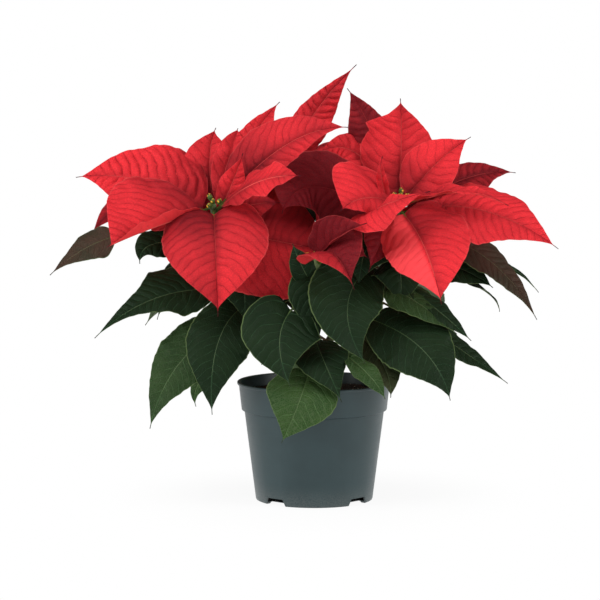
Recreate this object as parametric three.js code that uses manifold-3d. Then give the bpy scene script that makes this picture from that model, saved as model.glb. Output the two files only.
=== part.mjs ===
// A flowering poinsettia in a nursery pot: a pot with its compost, a main stem, four leafy
// branches, and on each branch a head of red bracts round its cluster of small true flowers.
// Millimetres, +Z up, origin on the underside of the pot at its centre.

import * as THREE from 'three';
import { mergeVertices } from 'three/addons/utils/BufferGeometryUtils.js';
import Module from 'manifold-3d';

const wasm = await Module();
wasm.setup();

// ---------------------------------------------------------------- driving dimensions

const GAP = 0.3;                 // clearance between pieces that touch
const POT_HEIGHT = 100;
const RIM_RADIUS = 64.9;
const LIP_HEIGHT = 2.2;
const LIP_REACH = 1.4;           // how far the lip stands out past the collar
const COLLAR_HEIGHT = 23.5;
const COLLAR_FOOT_RADIUS = 61.2;
const BODY_TOP_RADIUS = 58.8;
const FOOT_RADIUS = 49.4;
const WALL = 1.6;
const POT_SIDES = 32;
const NOTCH_HEIGHT = 5.9;
const NOTCH_WIDTH = 21.5;
const NOTCH_DEPTH = 9;
const NOTCH_ANGLES = [48, 138, 228, 318];

const SOIL_TOP = 90;
const SOIL_CROWN = 3;            // how much the compost rises towards the stem
const HOLE_DEPTH = 24;

const TRUNK_RADIUS = 5.5;
const TRUNK_TOP = 140;
const BRANCH_RADIUS = 3.6;
const AXIS_RADIUS = 2.7;         // the top of a branch, which carries the bracts
const STEM_SIDES = 8;

const BRACT_THICKNESS = 0.9;
const LEAF_THICKNESS = 1.0;
const STALK_RADIUS = 1.2;
const STALK_SIDES = 4;
const LONG_STALK = 0.2;          // stalks longer than this share of their curve are bent
const TIP_HALF = 0.6;            // half the width of the thread that a blade ends in
const ROWS = [0, 0.15, 0.36, 0.6, 0.83, 1];
const SMALL_ROWS = [0, 0.2, 0.5, 0.8, 1];
const WIDE_COLUMNS = [-1, -0.5, 0, 0.5, 1];
const NARROW_COLUMNS = [-1, 0, 1];
const WIDE_HALF = 34;            // blades wider than this have the finer columns
const SMALL_HALF = 16;           // blades narrower than this have fewer rows
const EAR_LENGTH = 0.35;         // the share of a blade that its ears draw back
const EAR_ROW = 0.03;            // where the ears reach furthest back

const RIPPLE_SHIFT = 1.7;        // how far one half's waves lag behind the other's, in radians
const LOBE_LENGTH = 0.1;         // the share of a blade over which a lobe rises or falls
const TIP_POWER = 1.35;          // how sharply the outline draws in to the tip
const STALK_OVERLAP = 0.04;      // how far a stalk runs on into its blade
const NORMAL_STEP = 0.01;

const CUP_RADIUS = 2.3;
const CUP_FOOT_RADIUS = 1.4;
const CUP_HEIGHT = 6;
const CUP_SIDES = 5;
const CUP_RING = 4.1;            // how far the outer cups stand from the middle one
const CUP_TILT = 0.35;
const DISC_RADIUS = 4.6;
const DISC_FOOT_RADIUS = 2.6;
const DISC_HEIGHT = 1.6;
const DISC_SIDES = 8;

// ---------------------------------------------------------------- stems

// Each branch is a curve from inside the main stem, through a middle point, to its top.
const BRANCHES = {
  left: { from: [0, 0, 108], mid: [-46, -8, 163], to: [-78, -6, 222] },
  right: { from: [0, 0, 116], mid: [38, -2, 175], to: [66, 3, 230] },
  front: { from: [0, 0, 124], mid: [1, -27, 160], to: [2, -46, 197] },
  back: { from: [0, 0, 100], mid: [-14, 42, 180], to: [-26, 62, 256] },
};

// The head's own axis carries on from the top of the branch to this point.
const HEADS = {
  left: [-84, -20, 250],
  right: [72, -9, 254],
  front: [1, -42, 207],
  back: [-26, 55, 284],
};

// ---------------------------------------------------------------- blades

// A blade leaves its stem at the fraction `at`, runs through `mid` to `tip`, and turns its
// upper face towards `face`. `half` is its greatest half-width. `fold` and `roll` are the angles
// in degrees by which its right and left halves rise from the midrib and bend towards the edge.
// `ears` is how far both halves reach back past the stalk.

const LEFT_BRACTS = [
  { at: 0.5, mid: [-140, -8, 268], tip: [-200, 8, 271], face: [0, -0.8, 0.6], half: 44,
    widest: 0.34, skew: 0.08 },
  { at: 0.9, mid: [-128, -52, 235], tip: [-168, -82, 219], face: [-0.2, -0.8, 0.6], half: 31,
    skew: 0.68, belly: 2.8, fold: [18, 84], roll: [-15, 20] },
  { at: 0.1, mid: [-144, 22, 250], tip: [-189, 12, 221], face: [-0.3, -0.5, 0.9], half: 34 },
  { at: 0.8, mid: [-81, -63, 222], tip: [-79, -62, 161], face: [0, -0.95, 0.3], half: 46,
    stalk: 0.16, widest: 0.36, belly: 2.4, shoulder: 0.25, ears: 16, fold: [24, 24],
    roll: [-60, -60] },
  { at: 0.2, mid: [-40, -28, 222], tip: [20, 2, 208], face: [0.1, -0.85, 0.5], half: 57,
    widest: 0.42, skew: -0.1, belly: 4.0, shoulder: 0.25 },
  { at: 0.7, mid: [-49, -60, 270], tip: [-11, -88, 277], face: [0, -0.3, 1], half: 15,
    widest: 0.5, skew: -0.1, belly: 2.6, fold: [-50, 30], roll: [-10, 10] },
  { at: 0.5, mid: [-68, -22, 268], tip: [-59, -36, 293], face: [0.1, -0.9, 0.3], half: 11 },
  { at: 0.5, mid: [-88, 16, 283], tip: [-83, 27, 312], face: [0, -0.8, 0.6], half: 25,
    fold: [18, 18] },
  { at: 0.6, mid: [-54, 2, 300], tip: [-29, 14, 334], face: [0.1, -0.8, 0.6], half: 21,
    skew: 0.25, belly: 1.2, fold: [22, 22] },
  { at: 0.55, mid: [-70, -2, 290], tip: [-64, 8, 312], face: [0.1, -0.9, 0.4], half: 14,
    fold: [24, 24] },
  { at: 0.7, mid: [-26, -26, 298], tip: [28, -28, 314], face: [0.1, -0.9, 0.4], half: 22,
    widest: 0.34, skew: -0.25, fold: [14, 14] },
  { at: 0.4, mid: [-56, -26, 249], tip: [-26, -20, 251], face: [0.1, -0.85, 0.5], half: 14,
    belly: 2.5 },
  { at: 0.2, mid: [-122, 40, 246], tip: [-160, 76, 226], face: [-0.3, 0.3, 0.9], half: 29 },
  { at: 0.3, mid: [-86, 38, 258], tip: [-90, 92, 246], face: [0, 0.3, 0.9], half: 28 },
];

const RIGHT_BRACTS = [
  { at: 0.4, mid: [51, 25, 303], tip: [28, 38, 345], face: [-0.3, -0.9, 0.3], half: 21,
    skew: -0.2 },
  { at: 0.6, mid: [73, 12, 298], tip: [72, 8, 337], face: [0, -0.85, 0.5], half: 32, widest: 0.42,
    skew: -0.12, fold: [20, 6], lobes: [[1, 0.7, 11]] },
  { at: 0.7, mid: [101, 0, 282], tip: [131, 5, 305], face: [0.1, -0.8, 0.55], half: 24,
    fold: [24, 24] },
  { at: 0.2, mid: [124, 35, 267], tip: [172, 45, 273], face: [0.2, -0.6, 0.8], half: 24 },
  { at: 0.4, mid: [134, -30, 247], tip: [200, -47, 215], face: [0.3, -0.65, 0.7], half: 40,
    belly: 2.2 },
  { at: 0.7, mid: [116, -44, 262], tip: [158, -57, 251], face: [0, -0.4, 0.9], half: 9,
    fold: [35, 35] },
  { at: 0.8, mid: [42, -44, 257], tip: [21, -62, 247], face: [-0.2, -0.9, 0.4], half: 27,
    widest: 0.52, skew: 0.4, belly: 2.0, shoulder: 0.5, fold: [12, 0], roll: [-20, -30],
    lobes: [[1, 0.25, 5]] },
  { at: 0.3, mid: [51, -60, 249], tip: [93, -78, 264], face: [0, -0.7, 0.7], half: 20,
    widest: 0.44, skew: 0.3, shoulder: 0.4, ears: 8, fold: [-10, 8] },
  { at: 0.6, mid: [89, -60, 219], tip: [103, -74, 172], face: [0.1, -0.95, 0.3], half: 37,
    widest: 0.36, skew: -0.12, belly: 2.3, shoulder: 0.35, ears: 14, fold: [-10, 18],
    roll: [-15, -35], lobes: [[0, 0.14, 6]] },
  { at: 0.3, mid: [38, 22, 289], tip: [2, 26, 290], face: [0, -0.8, 0.6], half: 26 },
  { at: 0.2, mid: [56, -27, 269], tip: [56, -30, 290], face: [0, -0.9, 0.3], half: 5 },
  { at: 0.1, mid: [4, -10, 264], tip: [-27, -32, 243], face: [-0.2, -0.9, 0.3], half: 34,
    widest: 0.5, belly: 2.3 },
  { at: 0.1, mid: [56, -34, 222], tip: [44, -58, 197], face: [0.1, -0.9, 0.3], half: 17 },
  { at: 0.2, mid: [76, 50, 262], tip: [78, 104, 246], face: [0, 0.3, 0.9], half: 29 },
  { at: 0.1, mid: [116, 52, 250], tip: [154, 88, 224], face: [0.3, 0.3, 0.9], half: 28 },
];

const FRONT_BRACTS = [
  { at: 0.9, mid: [19, -66, 226], tip: [42, -76, 238], face: [0, -0.9, 0.4], half: 14, skew: -0.5,
    belly: 2.0, shoulder: 0.35, ears: 5, fold: [60, 12], roll: [20, 25] },
  { at: 0.5, mid: [15, -70, 213], tip: [32, -84, 185], face: [0.1, -0.8, 0.6], half: 31,
    stalk: 0.2, widest: 0.36, shoulder: 0.35, ears: 9, fold: [38, 15], roll: [-20, 0] },
  { at: 0.4, mid: [24, -58, 214], tip: [45, -64, 208], face: [0, -0.9, 0.4], half: 17,
    stalk: 0.25, skew: -0.15, shoulder: 0.35 },
];

const BACK_BRACTS = [
  { at: 0.4, mid: [-3, 64, 318], tip: [36, 45, 365], face: [0.3, -0.9, 0.3], half: 17,
    skew: 0.15 },
  { at: 0.5, mid: [-62, 78, 292], tip: [-100, 92, 280], face: [-0.2, -0.2, 1], half: 24 },
  { at: 0.4, mid: [-52, 104, 282], tip: [-70, 138, 260], face: [-0.2, 0.4, 0.9], half: 25 },
  { at: 0.5, mid: [-20, 108, 292], tip: [-14, 150, 274], face: [0, 0.4, 0.9], half: 26 },
  { at: 0.3, mid: [20, 98, 284], tip: [48, 132, 258], face: [0.3, 0.4, 0.9], half: 25 },
  { at: 0.5, mid: [24, 74, 298], tip: [72, 88, 284], face: [0.3, 0, 1], half: 24 },
  { at: 0.6, mid: [-42, 74, 303], tip: [-49, 84, 319], face: [-0.3, -0.6, 0.5], half: 13 },
];

const LEFT_LEAVES = [
  { at: 0.6, mid: [-124, -26, 175], tip: [-182, -35, 140], face: [-0.2, -0.75, 0.7], half: 28,
    stalk: 0.2, widest: 0.32, skew: 0.12, belly: 0.85, shoulder: 0.42, lobes: [[0, 0.42, 7]] },
  { at: 0.5, mid: [-105, 12, 178], tip: [-133, 18, 150], face: [-0.2, -0.6, 0.8], half: 12 },
  { at: 0.45, mid: [-104, -36, 128], tip: [-136, -46, 66], face: [-0.3, -0.9, 0.3], half: 26,
    stalk: 0.2, shoulder: 0.42 },
  { at: 0.3, mid: [-88, 6, 108], tip: [-100, 8, 77], face: [-0.3, -0.9, 0.3], half: 9 },
  { at: 0.55, mid: [-78, -52, 142], tip: [-84, -62, 80], face: [0, -0.95, 0.3], half: 27,
    stalk: 0.1, widest: 0.5, shoulder: 0.5 },
  { at: 0.85, mid: [-150, -15, 226], tip: [-220, -20, 191], face: [-0.3, -0.75, 0.7], half: 18,
    stalk: 0.6, widest: 0.3, belly: 1.3 },
  { at: 0.9, mid: [-128, -30, 219], tip: [-144, -38, 202], face: [-0.2, -0.8, 0.5], half: 15 },
  { at: 0.7, mid: [-105, 10, 200], tip: [-130, 12, 182], face: [-0.2, -0.6, 0.8], half: 12 },
  { at: 0.5, mid: [-104, 40, 172], tip: [-146, 66, 140], face: [-0.3, 0.3, 0.9], half: 22 },
  { at: 0.4, mid: [-78, 52, 142], tip: [-102, 78, 100], face: [-0.3, 0.6, 0.7], half: 22 },
  { at: 0.7, mid: [-58, -36, 187], tip: [-57, -42, 150], face: [0, -0.9, 0.4], half: 27,
    stalk: 0.15 },
  { at: 0.4, mid: [-16, 8, 168], tip: [6, 12, 146], face: [0, -0.9, 0.4], half: 20 },
];

const RIGHT_LEAVES = [
  { at: 0.75, mid: [27, -64, 171], tip: [41, -77, 124], face: [0, -0.95, 0.3], half: 32,
    stalk: 0.08, widest: 0.42, skew: 0.1, shoulder: 0.35, ears: 3, fold: [26, 8] },
  { at: 0.6, mid: [79, -40, 174], tip: [117, -50, 145], face: [0.3, -0.7, 0.7], half: 19,
    stalk: 0.2 },
  { at: 0.5, mid: [93, -20, 148], tip: [161, -25, 101], face: [0.5, -0.2, 0.8], half: 18,
    fold: [-15, 30] },
  { at: 0.35, mid: [83, -56, 138], tip: [111, -64, 92], face: [0.2, -0.9, 0.4], half: 31,
    stalk: 0.15, widest: 0.42, shoulder: 0.45 },
  { at: 0.3, mid: [54, -50, 124], tip: [62, -70, 95], face: [0.1, -0.8, 0.5], half: 17,
    stalk: 0.15 },
  { at: 0.7, mid: [94, -42, 170], tip: [129, -45, 139], face: [0.3, -0.8, 0.5], half: 10 },
  { at: 0.75, mid: [130, 0, 184], tip: [156, 5, 158], face: [0.6, -0.1, 0.8], half: 6 },
  { at: 0.95, mid: [134, -5, 211], tip: [186, -12, 153], face: [0.5, -0.7, 0.6], half: 18 },
  { at: 0.85, mid: [140, 35, 206], tip: [192, 40, 171], face: [0.4, -0.3, 0.8], half: 7 },
  { at: 0.6, mid: [88, 46, 176], tip: [112, 70, 148], face: [0.3, 0.3, 0.9], half: 22 },
  { at: 0.4, mid: [62, 56, 144], tip: [86, 84, 104], face: [0.3, 0.6, 0.7], half: 22 },
  { at: 0.95, mid: [24, 14, 243], tip: [-22, 22, 240], face: [-0.1, -0.8, 0.5], half: 26,
    stalk: 0.1, shoulder: 0.4 },
  { at: 0.9, mid: [44, -32, 216], tip: [36, -42, 182], face: [0, -0.9, 0.4], half: 26,
    stalk: 0.12 },
  { at: 0.4, mid: [23, -12, 158], tip: [27, -26, 126], face: [0, -0.9, 0.4], half: 17 },
  { at: 0.8, mid: [112, -6, 199], tip: [149, -14, 180], face: [0.2, -0.7, 0.6], half: 17 },
  { at: 0.75, mid: [70, -28, 197], tip: [69, -38, 160], face: [0.1, -0.9, 0.4], half: 24,
    stalk: 0.15 },
  { at: 0.97, mid: [58, -9, 219], tip: [60, -15, 197], face: [0.1, -0.9, 0.4], half: 16,
    stalk: 0.15 },
];

const FRONT_LEAVES = [
  { at: 0.75, mid: [-27, -68, 152], tip: [-20, -82, 106], face: [0, -0.95, 0.3], half: 33,
    stalk: 0.3, widest: 0.36, shoulder: 0.35, ears: 8, roll: [-15, -15] },
  { at: 0.15, mid: [-9, -68, 102], tip: [-27, -84, 60], face: [0, -0.9, 0.4], half: 30 },
  { at: 0.2, mid: [6, -60, 128], tip: [22, -74, 92], face: [0.1, -0.9, 0.4], half: 24,
    stalk: 0.15 },
  { at: 0.25, mid: [38, -72, 120], tip: [57, -86, 96], face: [0.2, -0.9, 0.5], half: 10 },
  { at: 0.97, mid: [1, -56, 177], tip: [4, -57, 138], face: [0.1, -0.9, 0.4], half: 17,
    stalk: 0.12, skew: 0.35, belly: 2.2, shoulder: 0.4, ears: 8, roll: [-15, -15] },
  { at: 0.75, mid: [-11, -59, 203], tip: [-18, -58, 220], face: [0, -0.95, 0.3], half: 11,
    stalk: 0.1 },
];

const BACK_LEAVES = [
  { at: 0.7, mid: [-56, 96, 190], tip: [-88, 122, 160], face: [-0.3, 0.4, 0.9], half: 24 },
  { at: 0.8, mid: [-10, 116, 214], tip: [-6, 154, 176], face: [0, 0.6, 0.8], half: 24 },
  { at: 0.65, mid: [42, 98, 192], tip: [76, 124, 158], face: [0.3, 0.4, 0.9], half: 23 },
  { at: 0.5, mid: [-36, 92, 140], tip: [-46, 112, 100], face: [-0.2, 0.8, 0.5], half: 24 },
  { at: 0.45, mid: [24, 92, 146], tip: [34, 112, 98], face: [0.2, 0.8, 0.5], half: 24 },
  { at: 0.3, mid: [-8, 78, 118], tip: [-14, 94, 66], face: [0, 0.9, 0.4], half: 22 },
];

const BRACT_SHAPE = {
  stalk: 0.1, widest: 0.4, fold: [8, 8], roll: [-35, -35], wave: 1.6, crests: 3,
  belly: 1.7, shoulder: 0.62, skew: 0, ears: 0, lobes: [],
};
const LEAF_SHAPE = {
  stalk: 0.3, widest: 0.38, fold: [8, 8], roll: [-25, -25], wave: 1.2, crests: 2.5,
  belly: 1.7, shoulder: 0.62, skew: 0, ears: 0, lobes: [],
};

// ---------------------------------------------------------------- small helpers

const point = (xyz) => new THREE.Vector3(...xyz);
const radians = THREE.MathUtils.degToRad;

// A quadratic curve that passes through its middle point halfway along.
function curveThrough(from, mid, to) {
  const control = mid.clone().multiplyScalar(2);
  control.addScaledVector(from, -0.5);
  control.addScaledVector(to, -0.5);
  return new THREE.QuadraticBezierCurve3(from, control, to);
}

function toSolid(geometry) {
  const bare = geometry.index ? geometry.toNonIndexed() : geometry;
  bare.deleteAttribute('normal');
  bare.deleteAttribute('uv');
  const merged = mergeVertices(bare, 1e-4);
  const mesh = new wasm.Mesh({
    numProp: 3,
    vertProperties: new Float32Array(merged.attributes.position.array),
    triVerts: new Uint32Array(merged.index.array),
  });
  return new wasm.Manifold(mesh);
}

function toGeometry(solid) {
  const mesh = solid.getMesh();
  const geometry = new THREE.BufferGeometry();
  geometry.setAttribute('position', new THREE.BufferAttribute(mesh.vertProperties, 3));
  geometry.setIndex(new THREE.BufferAttribute(mesh.triVerts, 1));
  return geometry;
}

// Joins the solids and keeps the one main body, without loose scraps or sealed hollows.
function fuse(solids) {
  const whole = solids.reduce((sum, solid) => sum.add(solid));
  const pieces = whole.decompose();
  return pieces.reduce((best, piece) => (piece.volume() > best.volume() ? piece : best));
}

// A closed shape from rows of points, all rows with the same number of points round a loop.
function loftLoops(loops) {
  const count = loops[0].length;
  const positions = loops.flat().flatMap((p) => [p.x, p.y, p.z]);
  const index = [];
  for (let row = 0; row < loops.length - 1; row += 1) {
    for (let i = 0; i < count; i += 1) {
      const a = row * count + i;
      const b = row * count + ((i + 1) % count);
      index.push(a, b, b + count, a, b + count, a + count);
    }
  }
  const last = (loops.length - 1) * count;
  for (let i = 1; i < count - 1; i += 1) {
    index.push(0, i + 1, i);
    index.push(last, last + i, last + i + 1);
  }
  const geometry = new THREE.BufferGeometry();
  geometry.setAttribute('position', new THREE.Float32BufferAttribute(positions, 3));
  geometry.setIndex(index);
  return geometry;
}

// A tapering round rod along a curve.
function rod(curve, startRadius, endRadius, steps, sides) {
  const loops = [];
  const hint = new THREE.Vector3(0.31, 0.83, 0.47);
  for (let step = 0; step <= steps; step += 1) {
    const t = step / steps;
    const centre = curve.getPoint(t);
    const along = curve.getTangent(t);
    const across = new THREE.Vector3().crossVectors(along, hint).normalize();
    const other = new THREE.Vector3().crossVectors(along, across);
    const radius = startRadius + (endRadius - startRadius) * t;
    const loop = [];
    for (let i = 0; i < sides; i += 1) {
      const angle = (i / sides) * 2 * Math.PI;
      const spot = centre.clone();
      spot.addScaledVector(across, Math.cos(angle) * radius);
      spot.addScaledVector(other, Math.sin(angle) * radius);
      loop.push(spot);
    }
    loops.push(loop);
  }
  return loftLoops(loops);
}

// ---------------------------------------------------------------- blade surface

// Half-width of a blade along its length, as a share of the greatest: a rounded base, the
// widest place at `widest`, and a drawn-out tip.
function outline(u, shape) {
  if (u < shape.widest) {
    return (1 - (1 - u / shape.widest) ** 2) ** shape.shoulder;
  }
  const v = (u - shape.widest) / (1 - shape.widest);
  return (1 - v ** shape.belly) ** TIP_POWER;
}

// The pointed lobes on one edge, each given as [half, place along the blade, reach].
function lobeReach(shape, u, half) {
  const lobes = shape.lobes.filter((lobe) => lobe[0] === half);
  const rise = (lobe) => lobe[2] * Math.max(0, 1 - Math.abs(u - lobe[1]) / LOBE_LENGTH);
  return lobes.reduce((sum, lobe) => sum + rise(lobe), 0);
}

function bladeFrame(shape, t) {
  const along = shape.curve.getTangent(t);
  const up = point(shape.face);
  up.addScaledVector(along, -up.dot(along)).normalize();
  const side = new THREE.Vector3().crossVectors(along, up);
  return { centre: shape.curve.getPoint(t), along, up, side };
}

// The point of the blade's middle surface at u along it and v across it, -1 to 1.
function bladePoint(shape, u, v) {
  const t = shape.stalk + (1 - shape.stalk) * u;
  const { centre, along, up, side } = bladeFrame(shape, t);
  const half = v < 0 ? 1 : 0;
  const share = Math.max(outline(u, shape), TIP_HALF / shape.half);
  const lean = 1 + (half ? -shape.skew : shape.skew);
  const width = shape.half * share * lean + lobeReach(shape, u, half);
  const open = radians(shape.fold[half]);
  const bend = radians(shape.roll[half]) * share + 1e-6;
  const reach = Math.abs(v);
  const across = (width * (Math.sin(open + bend * reach) - Math.sin(open))) / bend;
  const turn = 2 * Math.PI * shape.crests * u + half * RIPPLE_SHIFT;
  const ripple = shape.wave * share * reach ** 2 * Math.sin(turn);
  const rise = (width * (Math.cos(open) - Math.cos(open + bend * reach))) / bend + ripple;
  const near = Math.max(0, 1 - u / EAR_LENGTH) ** 2 * Math.min(1, share * 2);
  centre.addScaledVector(along, -shape.ears * near * Math.sqrt(reach));
  return centre.addScaledVector(side, across * Math.sign(v)).addScaledVector(up, rise);
}

function bladeNormal(shape, u, v) {
  if (u === 0 && shape.ears > 0) {
    return bladeFrame(shape, shape.stalk).up;
  }
  const alongU = bladePoint(shape, Math.min(u + NORMAL_STEP, 1), v);
  alongU.sub(bladePoint(shape, Math.max(u - NORMAL_STEP, 0), v));
  const alongV = bladePoint(shape, u, Math.min(v + NORMAL_STEP, 1));
  alongV.sub(bladePoint(shape, u, Math.max(v - NORMAL_STEP, -1)));
  return alongV.cross(alongU).negate().normalize();
}

// A thin closed blade: its upper and lower face are split into the same triangles.
function bladeGeometry(shape, thickness) {
  const columns = shape.half > WIDE_HALF ? WIDE_COLUMNS : NARROW_COLUMNS;
  const extra = shape.lobes.map((lobe) => lobe[1]);
  if (shape.ears > 0) {
    extra.push(EAR_ROW);
  }
  const usual = shape.half < SMALL_HALF ? SMALL_ROWS : ROWS;
  const rows = [...usual, ...extra].sort((a, b) => a - b);
  const positions = [];
  for (const sign of [1, -1]) {
    for (const u of rows) {
      for (const v of columns) {
        const spot = bladePoint(shape, u, v);
        spot.addScaledVector(bladeNormal(shape, u, v), (sign * thickness) / 2);
        positions.push(spot.x, spot.y, spot.z);
      }
    }
  }
  const wide = columns.length;
  const total = rows.length * wide;
  const index = [];
  const quad = (a, b, c, d) => index.push(a, c, b, a, d, c);
  for (let row = 0; row < rows.length - 1; row += 1) {
    for (let column = 0; column < wide - 1; column += 1) {
      const a = row * wide + column;
      const corners = [a, a + 1, a + 1 + wide, a + wide];
      if (column < (wide - 1) / 2) {
        corners.push(corners.shift());
      }
      const [p, q, r, s] = corners;
      quad(p, q, r, s);
      quad(p + total, s + total, r + total, q + total);
    }
  }
  const rim = [];
  for (let column = 0; column < wide; column += 1) rim.push(column);
  for (let row = 1; row < rows.length; row += 1) rim.push(row * wide + wide - 1);
  for (let column = wide - 2; column >= 0; column -= 1) rim.push((rows.length - 1) * wide + column);
  for (let row = rows.length - 2; row > 0; row -= 1) rim.push(row * wide);
  rim.forEach((a, i) => {
    const b = rim[(i + 1) % rim.length];
    quad(b, a, a + total, b + total);
  });
  const geometry = new THREE.BufferGeometry();
  geometry.setAttribute('position', new THREE.Float32BufferAttribute(positions, 3));
  geometry.setIndex(index);
  return geometry;
}

// A blade with its stalk, which starts inside the stem that carries it.
function bladeSolid(spec, base, defaults, thickness) {
  const shape = { ...defaults, ...spec };
  shape.curve = curveThrough(base, point(spec.mid), point(spec.tip));
  const reach = shape.stalk + STALK_OVERLAP;
  const stalkCurve = new THREE.CatmullRomCurve3(
    [0, 0.5, 1].map((share) => shape.curve.getPoint(share * reach)),
  );
  const steps = shape.stalk > LONG_STALK ? 2 : 1;
  const stalk = toSolid(rod(stalkCurve, STALK_RADIUS, STALK_RADIUS * 0.8, steps, STALK_SIDES));
  return toSolid(bladeGeometry(shape, thickness)).add(stalk);
}

// ---------------------------------------------------------------- stems and heads

const branchCurves = {};
const axisCurves = {};
for (const [name, stem] of Object.entries(BRANCHES)) {
  branchCurves[name] = curveThrough(point(stem.from), point(stem.mid), point(stem.to));
  const onward = branchCurves[name].getTangent(1);
  const start = point(stem.to).addScaledVector(onward, GAP);
  const length = point(HEADS[name]).distanceTo(start);
  const control = start.clone().addScaledVector(onward, length / 2);
  axisCurves[name] = new THREE.QuadraticBezierCurve3(start, control, point(HEADS[name]));
}

function trunkCurve() {
  return new THREE.LineCurve3(
    new THREE.Vector3(0, 0, SOIL_TOP - HOLE_DEPTH + GAP),
    new THREE.Vector3(0, 0, TRUNK_TOP),
  );
}

const trunkSolid = toSolid(rod(trunkCurve(), TRUNK_RADIUS, TRUNK_RADIUS * 0.8, 4, STEM_SIDES));

// A branch starts on the main stem's surface, so what would lie inside the stem is cut away.
function branchSolid(name) {
  const curve = branchCurves[name];
  const stem = toSolid(rod(curve, BRANCH_RADIUS, AXIS_RADIUS, 9, STEM_SIDES));
  const clear = rod(trunkCurve(), TRUNK_RADIUS + GAP, TRUNK_RADIUS * 0.8 + GAP, 4, STEM_SIDES);
  return stem.subtract(toSolid(clear));
}

function leafyBranch(name, leaves) {
  const curve = branchCurves[name];
  const blades = leaves.map((leaf) => bladeSolid(leaf, curve.getPoint(leaf.at), LEAF_SHAPE,
    LEAF_THICKNESS));
  return fuse([branchSolid(name), ...blades]);
}

function bractHead(name, bracts) {
  const curve = axisCurves[name];
  const axis = toSolid(rod(curve, AXIS_RADIUS, AXIS_RADIUS, 3, STEM_SIDES));
  const blades = bracts.map((bract) => bladeSolid(bract, curve.getPoint(bract.at), BRACT_SHAPE,
    BRACT_THICKNESS));
  return fuse([axis, ...blades]);
}

// The true flowers: a ring of small green cups round a middle one, on a short common disc.
function flowerCluster(name, cups) {
  const curve = axisCurves[name];
  const up = curve.getTangent(1);
  const turn = new THREE.Quaternion().setFromUnitVectors(new THREE.Vector3(0, 0, 1), up);
  const foot = point(HEADS[name]).addScaledVector(up, GAP);
  const profile = [[0, 0], [CUP_FOOT_RADIUS, 0], [CUP_RADIUS, CUP_HEIGHT * 0.5],
    [CUP_RADIUS * 0.7, CUP_HEIGHT], [0, CUP_HEIGHT]];
  const outline = profile.map((p) => new THREE.Vector2(...p));
  const cup = () => new THREE.LatheGeometry(outline, CUP_SIDES).rotateX(Math.PI / 2);
  const disc = new THREE.CylinderGeometry(DISC_RADIUS, DISC_FOOT_RADIUS, DISC_HEIGHT, DISC_SIDES);
  disc.rotateX(Math.PI / 2).translate(0, 0, DISC_HEIGHT / 2);
  const solids = [toSolid(disc)];
  for (let i = 0; i < cups; i += 1) {
    const ring = i === 0 ? 0 : CUP_RING;
    const angle = (i / (cups - 1)) * 2 * Math.PI;
    const tilt = new THREE.Matrix4().makeRotationAxis(
      new THREE.Vector3(-Math.sin(angle), Math.cos(angle), 0), i === 0 ? 0 : CUP_TILT);
    const geometry = cup().applyMatrix4(tilt);
    geometry.translate(ring * Math.cos(angle), ring * Math.sin(angle), 0.9);
    solids.push(toSolid(geometry));
  }
  const cluster = toGeometry(fuse(solids));
  cluster.applyQuaternion(turn);
  cluster.translate(foot.x, foot.y, foot.z);
  return cluster;
}

// ---------------------------------------------------------------- pot and compost

const floorRadius = FOOT_RADIUS - WALL;
const collarFoot = POT_HEIGHT - COLLAR_HEIGHT;
const collarTop = RIM_RADIUS - LIP_REACH;

function lathe(profile) {
  const points = profile.map((p) => new THREE.Vector2(...p));
  return toSolid(new THREE.LatheGeometry(points, POT_SIDES).rotateX(Math.PI / 2));
}

// The pot's outside, as one full body without its hollow.
function potOuter() {
  return lathe([[0, 0], [FOOT_RADIUS - 1, 0], [FOOT_RADIUS, 1.2],
    [BODY_TOP_RADIUS, collarFoot - 1], [COLLAR_FOOT_RADIUS, collarFoot],
    [collarTop, POT_HEIGHT - LIP_HEIGHT], [RIM_RADIUS, POT_HEIGHT - LIP_HEIGHT],
    [RIM_RADIUS, POT_HEIGHT], [0, POT_HEIGHT]]);
}

// The room inside the pot, drawn in by a clearance, up to a given height.
function potRoom(clearance, top) {
  const inset = WALL + clearance;
  const slope = (collarTop - COLLAR_FOOT_RADIUS) / COLLAR_HEIGHT;
  const topRadius = COLLAR_FOOT_RADIUS + slope * (top - collarFoot) - inset;
  return [[0, WALL + clearance], [floorRadius - clearance, WALL + clearance],
    [BODY_TOP_RADIUS - inset, collarFoot + 1], [COLLAR_FOOT_RADIUS - inset, collarFoot + 2],
    [topRadius, top], [0, top + (clearance > 0 ? SOIL_CROWN : 0)]];
}

// The recesses under the pot's edge, where the water drains, grown by a margin.
function drainRecesses(margin) {
  const boxes = NOTCH_ANGLES.map((degrees) => {
    const outline = new THREE.Shape();
    const low = NOTCH_WIDTH / 2 + margin;
    const high = NOTCH_WIDTH / 2 - 2 + margin;
    outline.moveTo(-low, -5);
    outline.lineTo(low, -5);
    outline.lineTo(low, 0);
    outline.lineTo(high, NOTCH_HEIGHT + margin);
    outline.lineTo(-high, NOTCH_HEIGHT + margin);
    outline.lineTo(-low, 0);
    const box = new THREE.ExtrudeGeometry(outline, { depth: 30 + margin, bevelEnabled: false });
    box.rotateX(Math.PI / 2);
    box.translate(0, -(FOOT_RADIUS - NOTCH_DEPTH) + margin, 0);
    return toSolid(box.rotateZ(radians(degrees)));
  });
  return boxes.reduce((sum, box) => sum.add(box));
}

function potSolid() {
  const room = lathe(potRoom(0, POT_HEIGHT + 1)).subtract(drainRecesses(WALL));
  return potOuter().subtract(room).subtract(drainRecesses(0));
}

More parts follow.
